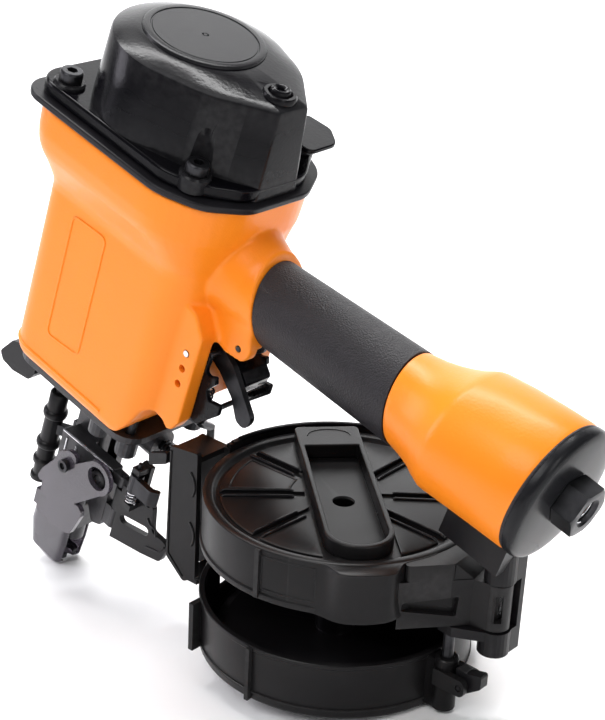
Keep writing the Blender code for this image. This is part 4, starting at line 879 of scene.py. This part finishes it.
def latch_parts():
    """Catch block and folded edges on the nose door."""
    outline = rounded([(52.6, 80.2, 1), (62.4, 88.2, 1), (61.0, 94.2, 1), (50.8, 86.4, 1)], 4)
    show(solid(extrude(outline, -23.6, -20.6, "XZ")), "catch_block", "nose_door", SATIN, edge=0.5)
    face = -20.3
    upper = [(40.0, face, 55.4), (48, face, 57.6), (57.5, face, 55.2)]
    lower = [(62.5, face, 34), (70.5, face, 37), (73.0, face, 42)]
    bend = [(58.6, face, 49.6), (61.2, face, 47.4), (64.6, face, 47.2), (66.5, face, 43.6)]
    seams = [tube_along(upper, 0.5, 8), tube_along(lower, 0.5, 8), tube_along(curve_points(bend), 0.6, 8)]
    piece(bundle(seams), "door_folds", "nose_door", SATIN, angle=60)


for make in (housing, barrel, grip, cap, end_cap, springs, trigger_area, latch_parts, cover, cover_arm, cup,
             magazine_rear, nose, wheel, contact_parts):
    make()

# --- CAD nodes that keep their shape ------------------------------------------------------
FINISH = {
    "trigger": (GLOSS, 1.2), "trip_lever": (BLACK_STEEL, 0.6), "nose_base_plate": (CAST, 0.5),
    "front_bumper": (SATIN, 0.9), "nose_door": (SATIN, 0.5), "door_latch": (BLACK_STEEL, 0.4),
    "feed_cylinder": (CAST, 0.6), "feed_pawl": (BLACK_STEEL, 0.4), "contact_arm": (BLACK_STEEL, 0.3),
    "no_mar_shield": (SMOKE, 0.8), "magazine_bracket": (SATIN, 0.7), "magazine_frame": (CHARCOAL, 0.6),
    "nail_platform": (SATIN, 0.4), "cup_catch": (SATIN, 0.6), "hinge_pin": (STEEL, 0.0),
    "trigger_valve_body": (SATIN, 0.3), "shield_screw": (BLACK_STEEL, 0.2),
}
for node_name in frame["nodes"]:
    paint, edge = FINISH.get(node_name, (BLACK_STEEL, 0.0))
    dress(node_name, paint, edge)
for node_name in ("cylinder_sleeve", "driver_blade", "trigger_pin", "valve_stem", "door_pin", "latch_spring",
                  "piston"):
    dress(node_name, STEEL)


# --- studio -------------------------------------------------------------------------------
def camera():
    """Camera above and beside the gun, with all of it in view."""
    data = bpy.data.cameras.new("camera")
    item = bpy.data.objects.new("camera", data)
    SET.objects.link(item)
    eye = MAG @ Vector((418.8, -525.5, 437.2))
    right = (MAG.to_3x3() @ Vector((0.7474, 0.66266, 0.04766))).normalized()
    ahead = (MAG.to_3x3() @ Vector((-0.59183, 0.69667, -0.40544))).normalized()
    up = right.cross(ahead)
    rows = [[right[i], up[i], -ahead[i], eye[i]] for i in range(3)]
    item.matrix_world = Matrix((*rows, (0, 0, 0, 1)))
    data.sensor_width = 36.0
    data.lens = 86.3
    data.clip_start = 0.05
    data.clip_end = 50.0
    scene.camera = item


def soft_light(name, at, size, power, aim=(0, 0, 0.12), colour=(1, 1, 1)):
    """Rectangular area light aimed at a point."""
    data = bpy.data.lights.new(name, "AREA")
    data.shape = "RECTANGLE"
    data.size, data.size_y = size
    data.energy = power
    data.color = colour
    item = bpy.data.objects.new(name, data)
    item.location = at
    item.rotation_euler = (Vector(aim) - Vector(at)).to_track_quat("-Z", "Y").to_euler()
    SET.objects.link(item)


def studio():
    """White floor that sweeps up behind, soft boxes in front, a dim room all round."""
    profile = [(-3.0, 0), (1.6, 0)] + [(1.6 + 0.8 * math.sin(a), 0.8 - 0.8 * math.cos(a))
                                       for a in [math.pi / 2 * k / 16 for k in range(1, 17)]] + [(2.4, 4.0)]
    bm = bmesh.new()
    rows = [[bm.verts.new((x, y, z)) for y, z in profile] for x in (-4.5, 4.5)]
    for i in range(len(profile) - 1):
        bm.faces.new((rows[0][i], rows[1][i], rows[1][i + 1], rows[0][i + 1]))
    mesh = bpy.data.meshes.new("floor")
    bm.to_mesh(mesh)
    bm.free()
    floor = bpy.data.objects.new("floor", mesh)
    floor.rotation_euler = (0, 0, math.radians(42))
    floor.location = (0, 0, -0.0004)
    SET.objects.link(floor)
    mesh.shade_smooth()
    mesh.materials.append(surface("pale_floor", (0.95, 0.95, 0.955), 0.4, mottle=0.0, rough_spread=0.02,
                                  bump=0.0, specular=0.3, wear=0.0))
    world = bpy.data.worlds.new("studio")
    scene.world = world
    world.use_nodes = True
    world.node_tree.nodes["Background"].inputs["Color"].default_value = (0.96, 0.97, 1, 1)
    world.node_tree.nodes["Background"].inputs["Strength"].default_value = 0.13
    soft_light("key", (0.25, -1.15, 1.35), (0.8, 0.8), 12)
    soft_light("side", (-1.15, -0.75, 0.75), (0.45, 1.0), 8, colour=(0.93, 0.9, 1.0))
    soft_light("fill", (1.4, -0.35, 0.75), (0.4, 0.9), 5)
    soft_light("top", (-0.1, 0.35, 1.9), (1.6, 1.2), 13)
    soft_light("sweep", (-0.5, 0.6, 2.6), (2.5, 0.6), 130, aim=(-1.4, 1.7, 0.9))


camera()
studio()
